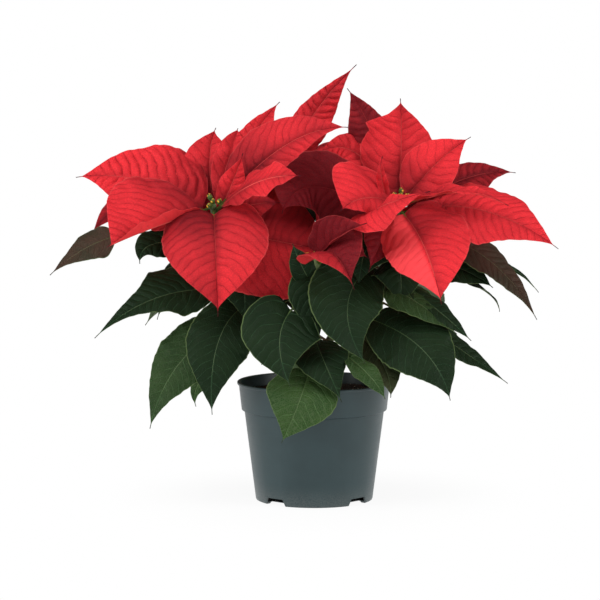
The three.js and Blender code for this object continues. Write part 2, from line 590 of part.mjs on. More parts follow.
function compostSolid() {
  const fill = lathe(potRoom(GAP, SOIL_TOP)).subtract(drainRecesses(WALL + GAP));
  const floor = SOIL_TOP - HOLE_DEPTH;
  const hole = new THREE.LineCurve3(
    new THREE.Vector3(0, 0, floor),
    new THREE.Vector3(0, 0, SOIL_TOP + 10),
  );
  return fill.subtract(toSolid(rod(hole, TRUNK_RADIUS + GAP, TRUNK_RADIUS + GAP, 1, STEM_SIDES)));
}

// ---------------------------------------------------------------- the plant

const plastic = new THREE.MeshStandardMaterial({ color: 0x566467, roughness: 0.5, metalness: 0 });
const peat = new THREE.MeshStandardMaterial({ color: 0x241c16, roughness: 1, metalness: 0 });
const bark = new THREE.MeshStandardMaterial({ color: 0x5b5a36, roughness: 0.8, metalness: 0 });
const leafGreen = new THREE.MeshStandardMaterial({ color: 0x254a30, roughness: 0.6, metalness: 0 });
const bractRed = new THREE.MeshStandardMaterial({ color: 0xc4212f, roughness: 0.6, metalness: 0 });
const cupGreen = new THREE.MeshStandardMaterial({ color: 0x4c6b2a, roughness: 0.5, metalness: 0 });

const poinsettia = new THREE.Group();

function place(name, geometry, material) {
  const mesh = new THREE.Mesh(geometry, material);
  mesh.name = name;
  poinsettia.add(mesh);
}

place('pot', toGeometry(potSolid()), plastic);
place('compost', toGeometry(compostSolid()), peat);
place('main_stem', toGeometry(trunkSolid), bark);

const leafSets = { left: LEFT_LEAVES, right: RIGHT_LEAVES, front: FRONT_LEAVES, back: BACK_LEAVES };
const bractSets = { left: LEFT_BRACTS, right: RIGHT_BRACTS, front: FRONT_BRACTS, back: BACK_BRACTS };
const cupCounts = { left: 4, right: 5, front: 3, back: 5 };

for (const name of Object.keys(BRANCHES)) {
  place(`branch_${name}`, toGeometry(leafyBranch(name, leafSets[name])), leafGreen);
  place(`bracts_${name}`, toGeometry(bractHead(name, bractSets[name])), bractRed);
  place(`flowers_${name}`, flowerCluster(name, cupCounts[name]), cupGreen);
}

export default poinsettia;
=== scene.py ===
"""A flowering poinsettia in a nursery pot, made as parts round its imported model."""

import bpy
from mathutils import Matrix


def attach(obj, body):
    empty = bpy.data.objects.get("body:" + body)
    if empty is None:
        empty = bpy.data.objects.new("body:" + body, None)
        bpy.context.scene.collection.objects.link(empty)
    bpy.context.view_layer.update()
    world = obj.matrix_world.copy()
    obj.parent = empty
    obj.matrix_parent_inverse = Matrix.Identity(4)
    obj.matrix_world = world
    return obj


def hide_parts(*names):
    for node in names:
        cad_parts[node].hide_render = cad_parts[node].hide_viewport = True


bl_info = {
    "name": "Potted Poinsettia",
    "version": (1, 0, 0),
    "blender": (4, 5, 0),
    "location": "View3D > Sidebar > Poinsettia",
    "description": "Makes a potted poinsettia: pot, compost, stems, leaves, bracts and flowers",
    "category": "Add Mesh",
}

import math

import bmesh
import bpy
import numpy as np
from mathutils import Matrix, Vector

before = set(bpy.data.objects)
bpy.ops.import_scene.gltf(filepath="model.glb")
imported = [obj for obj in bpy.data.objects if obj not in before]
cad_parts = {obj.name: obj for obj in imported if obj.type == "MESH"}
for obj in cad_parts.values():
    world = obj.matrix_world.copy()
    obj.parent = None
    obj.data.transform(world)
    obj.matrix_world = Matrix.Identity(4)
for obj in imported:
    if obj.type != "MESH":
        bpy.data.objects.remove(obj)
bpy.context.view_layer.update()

MM = 0.001
BODY = "root"
SIDES = ("left", "right", "front", "back")

# ---------------------------------------------------------------- the plant's own sizes, in mm

# Each branch is a curve from inside the main stem, through a middle point, to its top. The
# head's own axis carries on from there to the last point.
BRANCHES = {
    "left": ((0, 0, 108), (-46, -8, 163), (-78, -6, 222), (-84, -20, 250)),
    "right": ((0, 0, 116), (38, -2, 175), (66, 3, 230), (72, -9, 254)),
    "front": ((0, 0, 124), (1, -27, 160), (2, -46, 197), (1, -42, 207)),
    "back": ((0, 0, 100), (-14, 42, 180), (-26, 62, 256), (-26, 55, 284)),
}
JOINT_GAP = 0.3
CUPS = {"left": 4, "right": 5, "front": 3, "back": 5}

# A blade leaves its stem at a fraction of the stem's length, runs through a middle point to its
# tip and turns its upper face towards a direction. The last number is its greatest half-width.
# Where a blade differs from the usual one of its kind, the differences follow.
BRACTS = {
    "left": [
        (0.5, (-140, -8, 268), (-200, 8, 271), (0, -0.8, 0.6), 44,
         dict(widest=0.34, skew=0.08, pleat=3.0, veined=0.9)),
        (0.9, (-128, -52, 235), (-168, -82, 219), (-0.2, -0.8, 0.6), 31,
         dict(skew=0.68, belly=2.8, fold=(18, 84), roll=(-15, 20), painted_half_shading=(-0.2, 0.1),
              pleat=0.9, veined=0.8)),
        (0.1, (-144, 22, 250), (-189, 12, 221), (-0.3, -0.5, 0.9), 34, dict(tone=-1.2)),
        (0.8, (-81, -63, 222), (-79, -62, 161), (0, -0.95, 0.3), 46,
         dict(stalk=0.16, widest=0.36, belly=2.4, shoulder=0.25, ears=16, fold=(24, 24),
              roll=(-60, -60), painted_half_shading=(-0.3, 0.1), pleat=0.4, veined=1.0, tone=-0.3)),
        (0.2, (-40, -28, 222), (20, 2, 208), (0.1, -0.85, 0.5), 57,
         dict(skew=-0.1, widest=0.42, belly=4.0, shoulder=0.25,
              painted_half_shading=(0.5, -0.1), veined=0.7, tone=-0.62)),
        (0.7, (-49, -60, 270), (-11, -88, 277), (0, -0.3, 1), 15,
         dict(skew=-0.1, widest=0.5, belly=2.6, fold=(-50, 30), roll=(-10, 10), tone=-0.2)),
        (0.5, (-68, -22, 268), (-59, -36, 293), (0.1, -0.9, 0.3), 11, dict(pleat=1.0)),
        (0.5, (-88, 16, 283), (-83, 27, 312), (0, -0.8, 0.6), 25,
         dict(fold=(18, 18), tone=-0.3)),
        (0.6, (-54, 2, 300), (-29, 14, 334), (0.1, -0.8, 0.6), 21,
         dict(skew=0.25, belly=1.2, fold=(22, 22), pleat=1.0, tone=-0.2)),
        (0.55, (-70, -2, 290), (-64, 8, 312), (0.1, -0.9, 0.4), 14, dict(fold=(24, 24))),
        (0.7, (-26, -26, 298), (28, -28, 314), (0.1, -0.9, 0.4), 22,
         dict(skew=-0.25, widest=0.34, fold=(14, 14), pleat=1.2, veined=0.7, tone=-0.4)),
        (0.4, (-56, -26, 249), (-26, -20, 251), (0.1, -0.85, 0.5), 14,
         dict(belly=2.5, veined=0.5, tone=-1.0)),
        (0.2, (-122, 40, 246), (-160, 76, 226), (-0.3, 0.3, 0.9), 29),
        (0.3, (-86, 38, 258), (-90, 92, 246), (0, 0.3, 0.9), 28),
    ],
    "right": [
        (0.4, (51, 25, 303), (28, 38, 345), (-0.3, -0.9, 0.3), 21,
         dict(skew=-0.2, pleat=1.0, veined=0.9, tone=-1.5)),
        (0.6, (73, 12, 298), (72, 8, 337), (0, -0.85, 0.5), 32,
         dict(widest=0.42, skew=-0.12, lobes=((1, 0.7, 11),), fold=(20, 6),
              painted_half_shading=(-0.25, 0))),
        (0.7, (101, 0, 282), (131, 5, 305), (0.1, -0.8, 0.55), 24, dict(fold=(24, 24))),
        (0.2, (124, 35, 267), (172, 45, 273), (0.2, -0.6, 0.8), 24,
         dict(tone=-1.1, pleat=1.2, veined=0.8)),
        (0.4, (134, -30, 247), (200, -47, 215), (0.3, -0.65, 0.7), 40,
         dict(belly=2.2, painted_half_shading=(-0.3, 0), pleat=1.3)),
        (0.7, (116, -44, 262), (158, -57, 251), (0, -0.4, 0.9), 9, dict(fold=(35, 35))),
        (0.8, (42, -44, 257), (21, -62, 247), (-0.2, -0.9, 0.4), 27,
         dict(widest=0.52, skew=0.4, shoulder=0.5, belly=2.0, lobes=((1, 0.25, 5),), fold=(12, 0),
              roll=(-20, -30), pleat=0.4)),
        (0.3, (51, -60, 249), (93, -78, 264), (0, -0.7, 0.7), 20,
         dict(skew=0.3, widest=0.44, shoulder=0.4, ears=8, fold=(-10, 8), pleat=0.4)),
        (0.6, (89, -60, 219), (103, -74, 172), (0.1, -0.95, 0.3), 37,
         dict(skew=-0.12, widest=0.36, belly=2.3, shoulder=0.35, ears=14,
              lobes=((0, 0.14, 6),), fold=(-10, 18), roll=(-15, -35), painted_half_shading=(1.3, -0.1),
              pleat=0.7)),
        (0.3, (38, 22, 289), (2, 26, 290), (0, -0.8, 0.6), 26, dict(pleat=2.8, tone=-0.2)),
        (0.2, (56, -27, 269), (56, -30, 290), (0, -0.9, 0.3), 5),
        (0.1, (4, -10, 264), (-27, -32, 243), (-0.2, -0.9, 0.3), 34,
         dict(widest=0.5, belly=2.3, veined=0.8, tone=-1.7)),
        (0.1, (56, -34, 222), (44, -58, 197), (0.1, -0.9, 0.3), 17, dict(tone=-1.6)),
        (0.2, (76, 50, 262), (78, 104, 246), (0, 0.3, 0.9), 29),
        (0.1, (116, 52, 250), (154, 88, 224), (0.3, 0.3, 0.9), 28),
    ],
    "front": [
        (0.9, (19, -66, 226), (42, -76, 238), (0, -0.9, 0.4), 14,
         dict(skew=-0.5, shoulder=0.35, belly=2.0, ears=5, fold=(60, 12), roll=(20, 25),
              tone=-1.6)),
        (0.5, (15, -70, 213), (32, -84, 185), (0.1, -0.8, 0.6), 31,
         dict(stalk=0.2, widest=0.36, shoulder=0.35, ears=9, fold=(38, 15),
              roll=(-20, 0), painted_half_shading=(0.5, -0.4), tone=-1.25)),
        (0.4, (24, -58, 214), (45, -64, 208), (0, -0.9, 0.4), 17,
         dict(stalk=0.25, skew=-0.15, shoulder=0.35, tone=-1.8)),
    ],
    "back": [
        (0.4, (-3, 64, 318), (36, 45, 365), (0.3, -0.9, 0.3), 17,
         dict(skew=0.15, pleat=1.8, veined=0.9, tone=-0.3)),
        (0.5, (-62, 78, 292), (-100, 92, 280), (-0.2, -0.2, 1), 24),
        (0.4, (-52, 104, 282), (-70, 138, 260), (-0.2, 0.4, 0.9), 25),
        (0.5, (-20, 108, 292), (-14, 150, 274), (0, 0.4, 0.9), 26),
        (0.3, (20, 98, 284), (48, 132, 258), (0.3, 0.4, 0.9), 25),
        (0.5, (24, 74, 298), (72, 88, 284), (0.3, 0, 1), 24),
        (0.6, (-42, 74, 303), (-49, 84, 319), (-0.3, -0.6, 0.5), 13),
    ],
}
LEAVES = {
    "left": [
        (0.6, (-124, -26, 175), (-182, -35, 140), (-0.2, -0.75, 0.7), 28,
         dict(stalk=0.2, widest=0.32, belly=0.85, skew=0.12, shoulder=0.42,
              lobes=((0, 0.42, 7),))),
        (0.5, (-105, 12, 178), (-133, 18, 150), (-0.2, -0.6, 0.8), 12),
        (0.45, (-104, -36, 128), (-136, -46, 66), (-0.3, -0.9, 0.3), 26,
         dict(stalk=0.2, shoulder=0.42, youth=0.45)),
        (0.3, (-88, 6, 108), (-100, 8, 77), (-0.3, -0.9, 0.3), 9, dict(youth=0.8)),
        (0.55, (-78, -52, 142), (-84, -62, 80), (0, -0.95, 0.3), 27,
         dict(stalk=0.1, widest=0.5, shoulder=0.5)),
        (0.85, (-150, -15, 226), (-220, -20, 191), (-0.3, -0.75, 0.7), 18,
         dict(stalk=0.6, widest=0.3, belly=1.3, bronze=1.0)),
        (0.9, (-128, -30, 219), (-144, -38, 202), (-0.2, -0.8, 0.5), 15),
        (0.7, (-105, 10, 200), (-130, 12, 182), (-0.2, -0.6, 0.8), 12),
        (0.5, (-104, 40, 172), (-146, 66, 140), (-0.3, 0.3, 0.9), 22),
        (0.4, (-78, 52, 142), (-102, 78, 100), (-0.3, 0.6, 0.7), 22),
        (0.7, (-58, -36, 187), (-57, -42, 150), (0, -0.9, 0.4), 27, dict(stalk=0.15)),
        (0.4, (-16, 8, 168), (6, 12, 146), (0, -0.9, 0.4), 20),
    ],
    "right": [
        (0.75, (27, -64, 171), (41, -77, 124), (0, -0.95, 0.3), 32,
         dict(stalk=0.08, widest=0.42, skew=0.1, shoulder=0.35, ears=3, fold=(26, 8))),
        (0.6, (79, -40, 174), (117, -50, 145), (0.3, -0.7, 0.7), 19,
         dict(stalk=0.2, youth=0.45)),
        (0.5, (93, -20, 148), (161, -25, 101), (0.5, -0.2, 0.8), 18, dict(fold=(-15, 30))),
        (0.35, (83, -56, 138), (111, -64, 92), (0.2, -0.9, 0.4), 31,
         dict(stalk=0.15, widest=0.42, shoulder=0.45)),
        (0.3, (54, -50, 124), (62, -70, 95), (0.1, -0.8, 0.5), 17,
         dict(stalk=0.15, bronze=0.35, youth=0.3)),
        (0.7, (94, -42, 170), (129, -45, 139), (0.3, -0.8, 0.5), 10),
        (0.75, (130, 0, 184), (156, 5, 158), (0.6, -0.1, 0.8), 6),
        (0.95, (134, -5, 211), (186, -12, 153), (0.5, -0.7, 0.6), 18, dict(bronze=1.0)),
        (0.85, (140, 35, 206), (192, 40, 171), (0.4, -0.3, 0.8), 7),
        (0.6, (88, 46, 176), (112, 70, 148), (0.3, 0.3, 0.9), 22),
        (0.4, (62, 56, 144), (86, 84, 104), (0.3, 0.6, 0.7), 22),
        (0.95, (24, 14, 243), (-22, 22, 240), (-0.1, -0.8, 0.5), 26,
         dict(stalk=0.1, shoulder=0.4)),
        (0.9, (44, -32, 216), (36, -42, 182), (0, -0.9, 0.4), 26, dict(stalk=0.12)),
        (0.4, (23, -12, 158), (27, -26, 126), (0, -0.9, 0.4), 17),
        (0.8, (112, -6, 199), (149, -14, 180), (0.2, -0.7, 0.6), 17),
        (0.75, (70, -28, 197), (69, -38, 160), (0.1, -0.9, 0.4), 24, dict(stalk=0.15)),
        (0.97, (58, -9, 219), (60, -15, 197), (0.1, -0.9, 0.4), 16, dict(stalk=0.15)),
    ],
    "front": [
        (0.75, (-27, -68, 152), (-20, -82, 106), (0, -0.95, 0.3), 33,
         dict(stalk=0.3, widest=0.36, shoulder=0.35, ears=8, roll=(-15, -15))),
        (0.15, (-9, -68, 102), (-27, -84, 60), (0, -0.9, 0.4), 30, dict(youth=0.75)),
        (0.2, (6, -60, 128), (22, -74, 92), (0.1, -0.9, 0.4), 24, dict(stalk=0.15)),
        (0.25, (38, -72, 120), (57, -86, 96), (0.2, -0.9, 0.5), 10, dict(youth=0.6)),
        (0.97, (1, -56, 177), (4, -57, 138), (0.1, -0.9, 0.4), 17,
         dict(stalk=0.12, skew=0.35, belly=2.2, shoulder=0.4, ears=8, roll=(-15, -15))),
        (0.75, (-11, -59, 203), (-18, -58, 220), (0, -0.95, 0.3), 11, dict(stalk=0.1)),
    ],
    "back": [
        (0.7, (-56, 96, 190), (-88, 122, 160), (-0.3, 0.4, 0.9), 24),
        (0.8, (-10, 116, 214), (-6, 154, 176), (0, 0.6, 0.8), 24),
        (0.65, (42, 98, 192), (76, 124, 158), (0.3, 0.4, 0.9), 23),
        (0.5, (-36, 92, 140), (-46, 112, 100), (-0.2, 0.8, 0.5), 24),
        (0.45, (24, 92, 146), (34, 112, 98), (0.2, 0.8, 0.5), 24),
        (0.3, (-8, 78, 118), (-14, 94, 66), (0, 0.9, 0.4), 22),
    ],
}

# What a row can change, in mm, degrees or shares:
# stalk and widest are where along the curve the blade starts and where it is broadest.
# shoulder and belly shape the outline towards the base and the tip. skew makes the right half
# wider than the left, and lobes are (0 right or 1 left, place along the blade, reach).
# ears is how far the halves reach back past the stalk, and thread is how long the point is.
# fold and roll are how far the right and left halves rise from the midrib and bend towards
# the edge, and wave and crests are the height and number of the edge's waves.
# spacing, slant and sweep lay out the side veins, pleat is how far the surface puffs up
# between them and veined is how dark they are on a bract.
# tone makes a bract brighter or deeper, partly as its own pigment and partly as painted shade where
# it lies in shadow, and a pair for the right and left halves paints light and shade on each half.
# youth makes a leaf yellow-green, and bronze makes it brown.
BLADE = dict(
    fold=(8, 8), belly=1.7, shoulder=0.62, skew=0, lobes=(), ears=0, tone=0.0, painted_half_shading=(0, 0),
    youth=0.0, bronze=0.0,
)
BRACT = dict(
    BLADE, stalk=0.1, widest=0.4, roll=(-35, -35), wave=1.6, crests=3, thread=4.5, pleat=0.6,
    veined=0.6, spacing=1.0, slant=0.42, sweep=0.38,
)
LEAF = dict(
    BLADE, stalk=0.3, widest=0.38, roll=(-25, -25), wave=1.2, crests=2.5, thread=2.5, pleat=0.55,
    veined=0.0, spacing=0.95, slant=0.5, sweep=0.45,
)

# ---------------------------------------------------------------- settings


def quantity(name, description, default, unit="LENGTH"):
    return bpy.props.FloatProperty(
        name=name, description=description, default=default, unit=unit)


def count_of(name, description, default):
    return bpy.props.IntProperty(name=name, description=description, default=default)


def tint(name, description, default):
    return bpy.props.FloatVectorProperty(
        name=name, description=description, default=default, subtype="COLOR")


class PotSettings(bpy.types.PropertyGroup):
    height: quantity("Height", "Height of the pot", 0.1)
    rim_radius: quantity("Rim radius", "Radius over the lip", 0.0649)
    foot_radius: quantity("Foot radius", "Radius at the foot", 0.0494)
    collar_height: quantity("Collar height", "Height of the collar", 0.0235)
    wall: quantity("Wall", "Thickness of the wall", 0.0016)
    plastic: tint("Plastic", "Colour of the plastic", (0.0095, 0.029, 0.0325))


class CompostSettings(bpy.types.PropertyGroup):
    level: quantity("Level", "Height of the compost at the wall", 0.09)
    crumb: quantity("Crumb size", "Radius of the largest crumbs", 0.0014)
    crumbs: count_of("Crumbs per cm²", "How thickly the crumbs lie", 28)
    peat: tint("Peat", "Colour of the peat", (0.012, 0.008, 0.006))


class BladeSettings(bpy.types.PropertyGroup):
    bract_colour: tint("Bract", "Colour of the bracts' upper face", (0.88, 0.033, 0.043))
    leaf_colour: tint("Leaf", "Colour of the leaves' upper face", (0.0068, 0.0187, 0.0056))
    bract_thickness: quantity("Bract thickness", "Thickness of a bract", 0.0004)
    leaf_thickness: quantity("Leaf thickness", "Thickness of a leaf", 0.0005)
    vein_spacing: quantity("Vein spacing", "Distance between a bract's side veins", 0.008)
    seed: count_of("Seed", "Draw of the edges' small waves", 7)


class StemSettings(bpy.types.PropertyGroup):
    trunk_radius: quantity("Main stem radius", "Radius at the foot", 0.0055)
    branch_radius: quantity("Branch radius", "Radius where a branch starts", 0.0036)
    axis_radius: quantity("Head radius", "Radius under the bracts", 0.0027)
    knuckle: quantity("Knuckle", "How far a leaf joint swells", 0.0005)


class StageSettings(bpy.types.PropertyGroup):
    floor_colour: tint("Floor", "Colour of the floor", (0.9, 0.9, 0.9))
    key_power: quantity("Left light", "Power of the left softbox", 40.0, "POWER")
    fill_power: quantity("Right light", "Power of the right softbox", 21.0, "POWER")
    top_power: quantity("Top light", "Power of the softbox overhead", 15.0, "POWER")


# ---------------------------------------------------------------- node trees


class Signal:
    """A node's output. Arithmetic on it adds Math nodes to its tree."""

    def __init__(self, tree, socket):
        self.tree = tree
        self.socket = socket

    def __add__(self, other):
        return calc("ADD", self, other)

    def __sub__(self, other):
        return calc("SUBTRACT", self, other)

    def __rsub__(self, other):
        return calc("SUBTRACT", other, self)

    def __mul__(self, other):
        return calc("MULTIPLY", self, other)

    def __truediv__(self, other):
        return calc("DIVIDE", self, other)

    def __rtruediv__(self, other):
        return calc("DIVIDE", other, self)


def feed(tree, socket, value):
    """Links a signal to the socket, or sets the socket's own value."""
    if isinstance(value, Signal):
        tree.links.new(value.socket, socket)
    else:
        socket.default_value = value


def add(tree, kind, inputs=None, **settings):
    node = tree.nodes.new(kind)
    for name, value in settings.items():
        setattr(node, name, value)
    for key, value in (inputs or {}).items():
        feed(tree, node.inputs[key], value)
    return node


def output(tree, kind, inputs=None, pick=0, **settings):
    """Adds a node and gives the signal of one of its outputs."""
    return Signal(tree, add(tree, kind, inputs, **settings).outputs[pick])


def calc(operation, a, b=0.0):
    tree = a.tree if isinstance(a, Signal) else b.tree
    return output(tree, "ShaderNodeMath", {0: a, 1: b}, operation=operation)


def ramp(value, low, high, start=0.0, end=1.0, kind="SMOOTHSTEP"):
    """start where value is at low, end where it is at high, and eased between them."""
    inputs = {0: value, 1: low, 2: high, 3: start, 4: end}
    return output(value.tree, "ShaderNodeMapRange", inputs, interpolation_type=kind)


def blend(factor, a, b):
    """A colour between a and b."""
    a, b = (end if isinstance(end, Signal) else (*end, 1.0) for end in (a, b))
    return output(factor.tree, "ShaderNodeMix", {0: factor, 6: a, 7: b}, 2, data_type="RGBA")


def noise(tree, vector, scale, detail, roughness=0.5):
    inputs = {"Vector": vector, "Scale": scale, "Detail": detail, "Roughness": roughness}
    return output(tree, "ShaderNodeTexNoise", inputs)


def scaled(tree, vector, factor):
    """A vector times a number."""
    return output(tree, "ShaderNodeVectorMath", {0: vector, 3: factor}, operation="SCALE")


def attribute(tree, name):
    """A named value of the mesh, for a material."""
    return output(tree, "ShaderNodeAttribute", pick="Fac", attribute_name=name)


def field(tree, name, kind="FLOAT"):
    """A named value of each point, for a geometry tree."""
    return output(tree, "GeometryNodeInputNamedAttribute", {"Name": name}, data_type=kind)


def chance(tree, low, high, seed):
    """A random number for each point, or a random vector where low and high are vectors."""
    if isinstance(low, tuple):
        inputs = {0: low, 1: high, "Seed": seed}
        return output(tree, "FunctionNodeRandomValue", inputs, data_type="FLOAT_VECTOR")
    inputs = {2: low, 3: high, "Seed": seed}
    return output(tree, "FunctionNodeRandomValue", inputs, 1, data_type="FLOAT")


def new_group(name, kind, inputs, outputs):
    """An empty node group. inputs holds each input's default value, or its kind of socket."""
    tree = bpy.data.node_groups.new(name, kind)
    for label, value in inputs.items():
        named = isinstance(value, str)
        socket = value if named else {float: "Float", int: "Int"}[type(value)]
        item = tree.interface.new_socket(
            label, in_out="INPUT", socket_type=f"NodeSocket{socket}")
        if not named:
            item.default_value = value
    for label, socket in outputs.items():
        tree.interface.new_socket(label, in_out="OUTPUT", socket_type=f"NodeSocket{socket}")
    entry = tree.nodes.new("NodeGroupInput")
    given = {socket.name: Signal(tree, socket) for socket in entry.outputs}
    return tree, given, tree.nodes.new("NodeGroupOutput").inputs


def new_geometry_group(name, inputs):
    """An empty group that takes geometry, its own inputs and a material, and gives geometry."""
    inputs = {"Geometry": "Geometry", **inputs, "Material": "Material"}
    return new_group(name, "GeometryNodeTree", inputs, {"Geometry": "Geometry"})


def finish_geometry(tree, geometry, given, result):
    """Makes instances real, gives everything the group's material and sends it out."""
    real = output(tree, "GeometryNodeRealizeInstances", {0: geometry})
    coated = output(tree, "GeometryNodeSetMaterial", {0: real, "Material": given["Material"]})
    feed(tree, result["Geometry"], coated)
    return tree


def use_group(tree, name, inputs):
    """Places a shared shader group with its own values and gives its outputs in order."""
    node = add(tree, "ShaderNodeGroup", node_tree=bpy.data.node_groups[name])
    for key, value in inputs.items():
        feed(tree, node.inputs[key], value)
    return [Signal(tree, socket) for socket in node.outputs]


SIDE_LAG = 0.45                 # how far the left side's veins are out of step, in spacings
VEIN_DRIFTS = ((0.045, 1.1), (0.2, 0.25))     # scale and strength of the veins' straying


def vein_phase(along, across, half, spacing, slant, sweep):
    """How many side veins lie between the blade's base and a point. The veins leave the midrib
    at a slant, sweep towards the tip and alternate from one side to the other."""
    tree = along.tree
    reach = calc("ABSOLUTE", across)
    steep = ramp(along / half, 0.0, 2.2, 0.1, 1.3, kind="LINEAR")
    start = along - reach * (slant * steep) - reach * reach / half * sweep
    count = start / spacing + calc("LESS_THAN", across, 0.0) * SIDE_LAG
    spot = output(tree, "ShaderNodeCombineXYZ", {0: along, 1: across})
    for scale, stray in VEIN_DRIFTS:
        count = (noise(tree, spot, scale, 1.0) - 0.5) * stray + count
    return count


def build_vein_group():
    """Side veins, midrib and the fine net between them, on a blade's own coordinates in mm."""
    inputs = {"Along": 0.0, "Across": 0.0, "Half": 30.0, "Spacing": 6.2, "Slant": 0.45,
              "Sweep": 0.35, "Width": 0.6, "Net Size": 1.6}
    outputs = ("Side Vein", "Midrib", "Net", "Puff", "Trough")
    tree, given, result = new_group("Blade veins", "ShaderNodeTree", inputs,
                                    dict.fromkeys(outputs, "Float"))
    along, across, half, spacing, slant, sweep, width, net_size = (given[key] for key in inputs)
    spot = output(tree, "ShaderNodeCombineXYZ", {0: along, 1: across})
    reach = calc("ABSOLUTE", across)
    phase = vein_phase(along, across, half, spacing, slant, sweep)
    cell = calc("ABSOLUTE", calc("FRACT", phase) - 0.5)
    gap = (0.5 - cell) * spacing
    faint = ramp(noise(tree, spot, 0.11, 1.0), 0.38, 0.6, 0.25, 1.0)
    side = ramp(gap, width, 0.0) * faint
    midrib = ramp(reach, width * 1.5, 0.1)
    cells = output(tree, "ShaderNodeTexVoronoi",
                   {"Vector": scaled(tree, spot, 1.0 / net_size), "Scale": 1.0},
                   feature="DISTANCE_TO_EDGE")
    puff = calc("POWER", 1.0 - cell * 2.0, 0.5) * ramp(reach, 0.3, 2.5)
    made = (side, midrib, ramp(cells, 0.16, 0.02), puff, ramp(gap, spacing * 0.3, 0.0))
    for name, value in zip(outputs, made):
        feed(tree, result[name], value)


def build_mottle_group():
    """Soft broad patches and fine flecks, whose sizes are in metres."""
    tree, given, result = new_group("Mottle", "ShaderNodeTree",
                                    {"Patch Size": 0.02, "Fleck Size": 0.001},
                                    {"Patch": "Float", "Fleck": "Float"})
    spot = output(tree, "ShaderNodeTexCoord", pick="Object")
    for name, detail in (("Patch", 3.0), ("Fleck", 2.0)):
        grain = noise(tree, spot, 1.0 / given[f"{name} Size"], detail, 0.55)
        feed(tree, result[name], ramp(grain, 0.3, 0.7))


# ---------------------------------------------------------------- materials


def new_material(name):
    """A fresh material with its tree and its Principled shader."""
    material = bpy.data.materials.new(name)
    material.use_nodes = True
    tree = material.node_tree
    return material, tree, tree.nodes["Principled BSDF"]


def mottle(tree, patch, fleck):
    """The patches and flecks of the given sizes, in metres."""
    return use_group(tree, "Mottle", {"Patch Size": patch, "Fleck Size": fleck})


def coat(tree, skin, colour, rough, height, strength, distance):
    """Gives a shader its colour, its roughness and the bumps of a height."""
    inputs = {"Height": height, "Strength": strength, "Distance": distance}
    feed(tree, skin.inputs["Base Color"], colour)
    feed(tree, skin.inputs["Roughness"], rough)
    feed(tree, skin.inputs["Normal"], output(tree, "ShaderNodeBump", inputs))


def times(colour, *shares):
    """A colour with each channel scaled by its own share."""
    return tuple(channel * share for channel, share in zip(colour, shares))


def vein_spacing(usual):
    """Distance between side veins, in mm, on a bract or a leaf."""
    return bpy.context.scene.poinsettia_blades.vein_spacing / MM * usual["spacing"]


def blade_veins(tree, usual, width):
    """The side veins, midrib, net, puffs and troughs of a bract or a leaf."""
    return use_group(tree, "Blade veins", {
        "Along": attribute(tree, "along"), "Across": attribute(tree, "across"),
        "Half": attribute(tree, "half"), "Spacing": vein_spacing(usual),
        "Slant": usual["slant"], "Sweep": usual["sweep"], "Width": width,
    })


def blade_ends(tree, colour, rim, tip, stalk):
    """Adds a blade's rim, the end of its tip and its stalk to its colour. rim and tip are where
    each starts and is full, how strong it is and its colour. stalk is the same places, then the
    colours near the blade and far from it."""
    start, full, share, own = rim
    colour = blend(ramp(attribute(tree, "edge"), start, full) * share, colour, own)
    start, full, share, own = tip
    colour = blend(ramp(attribute(tree, "to_tip"), start, full) * share, colour, own)
    start, full, near, far = stalk
    stem = blend(ramp(attribute(tree, "along"), start, full), near, far)
    return blend(attribute(tree, "stalk"), colour, stem)


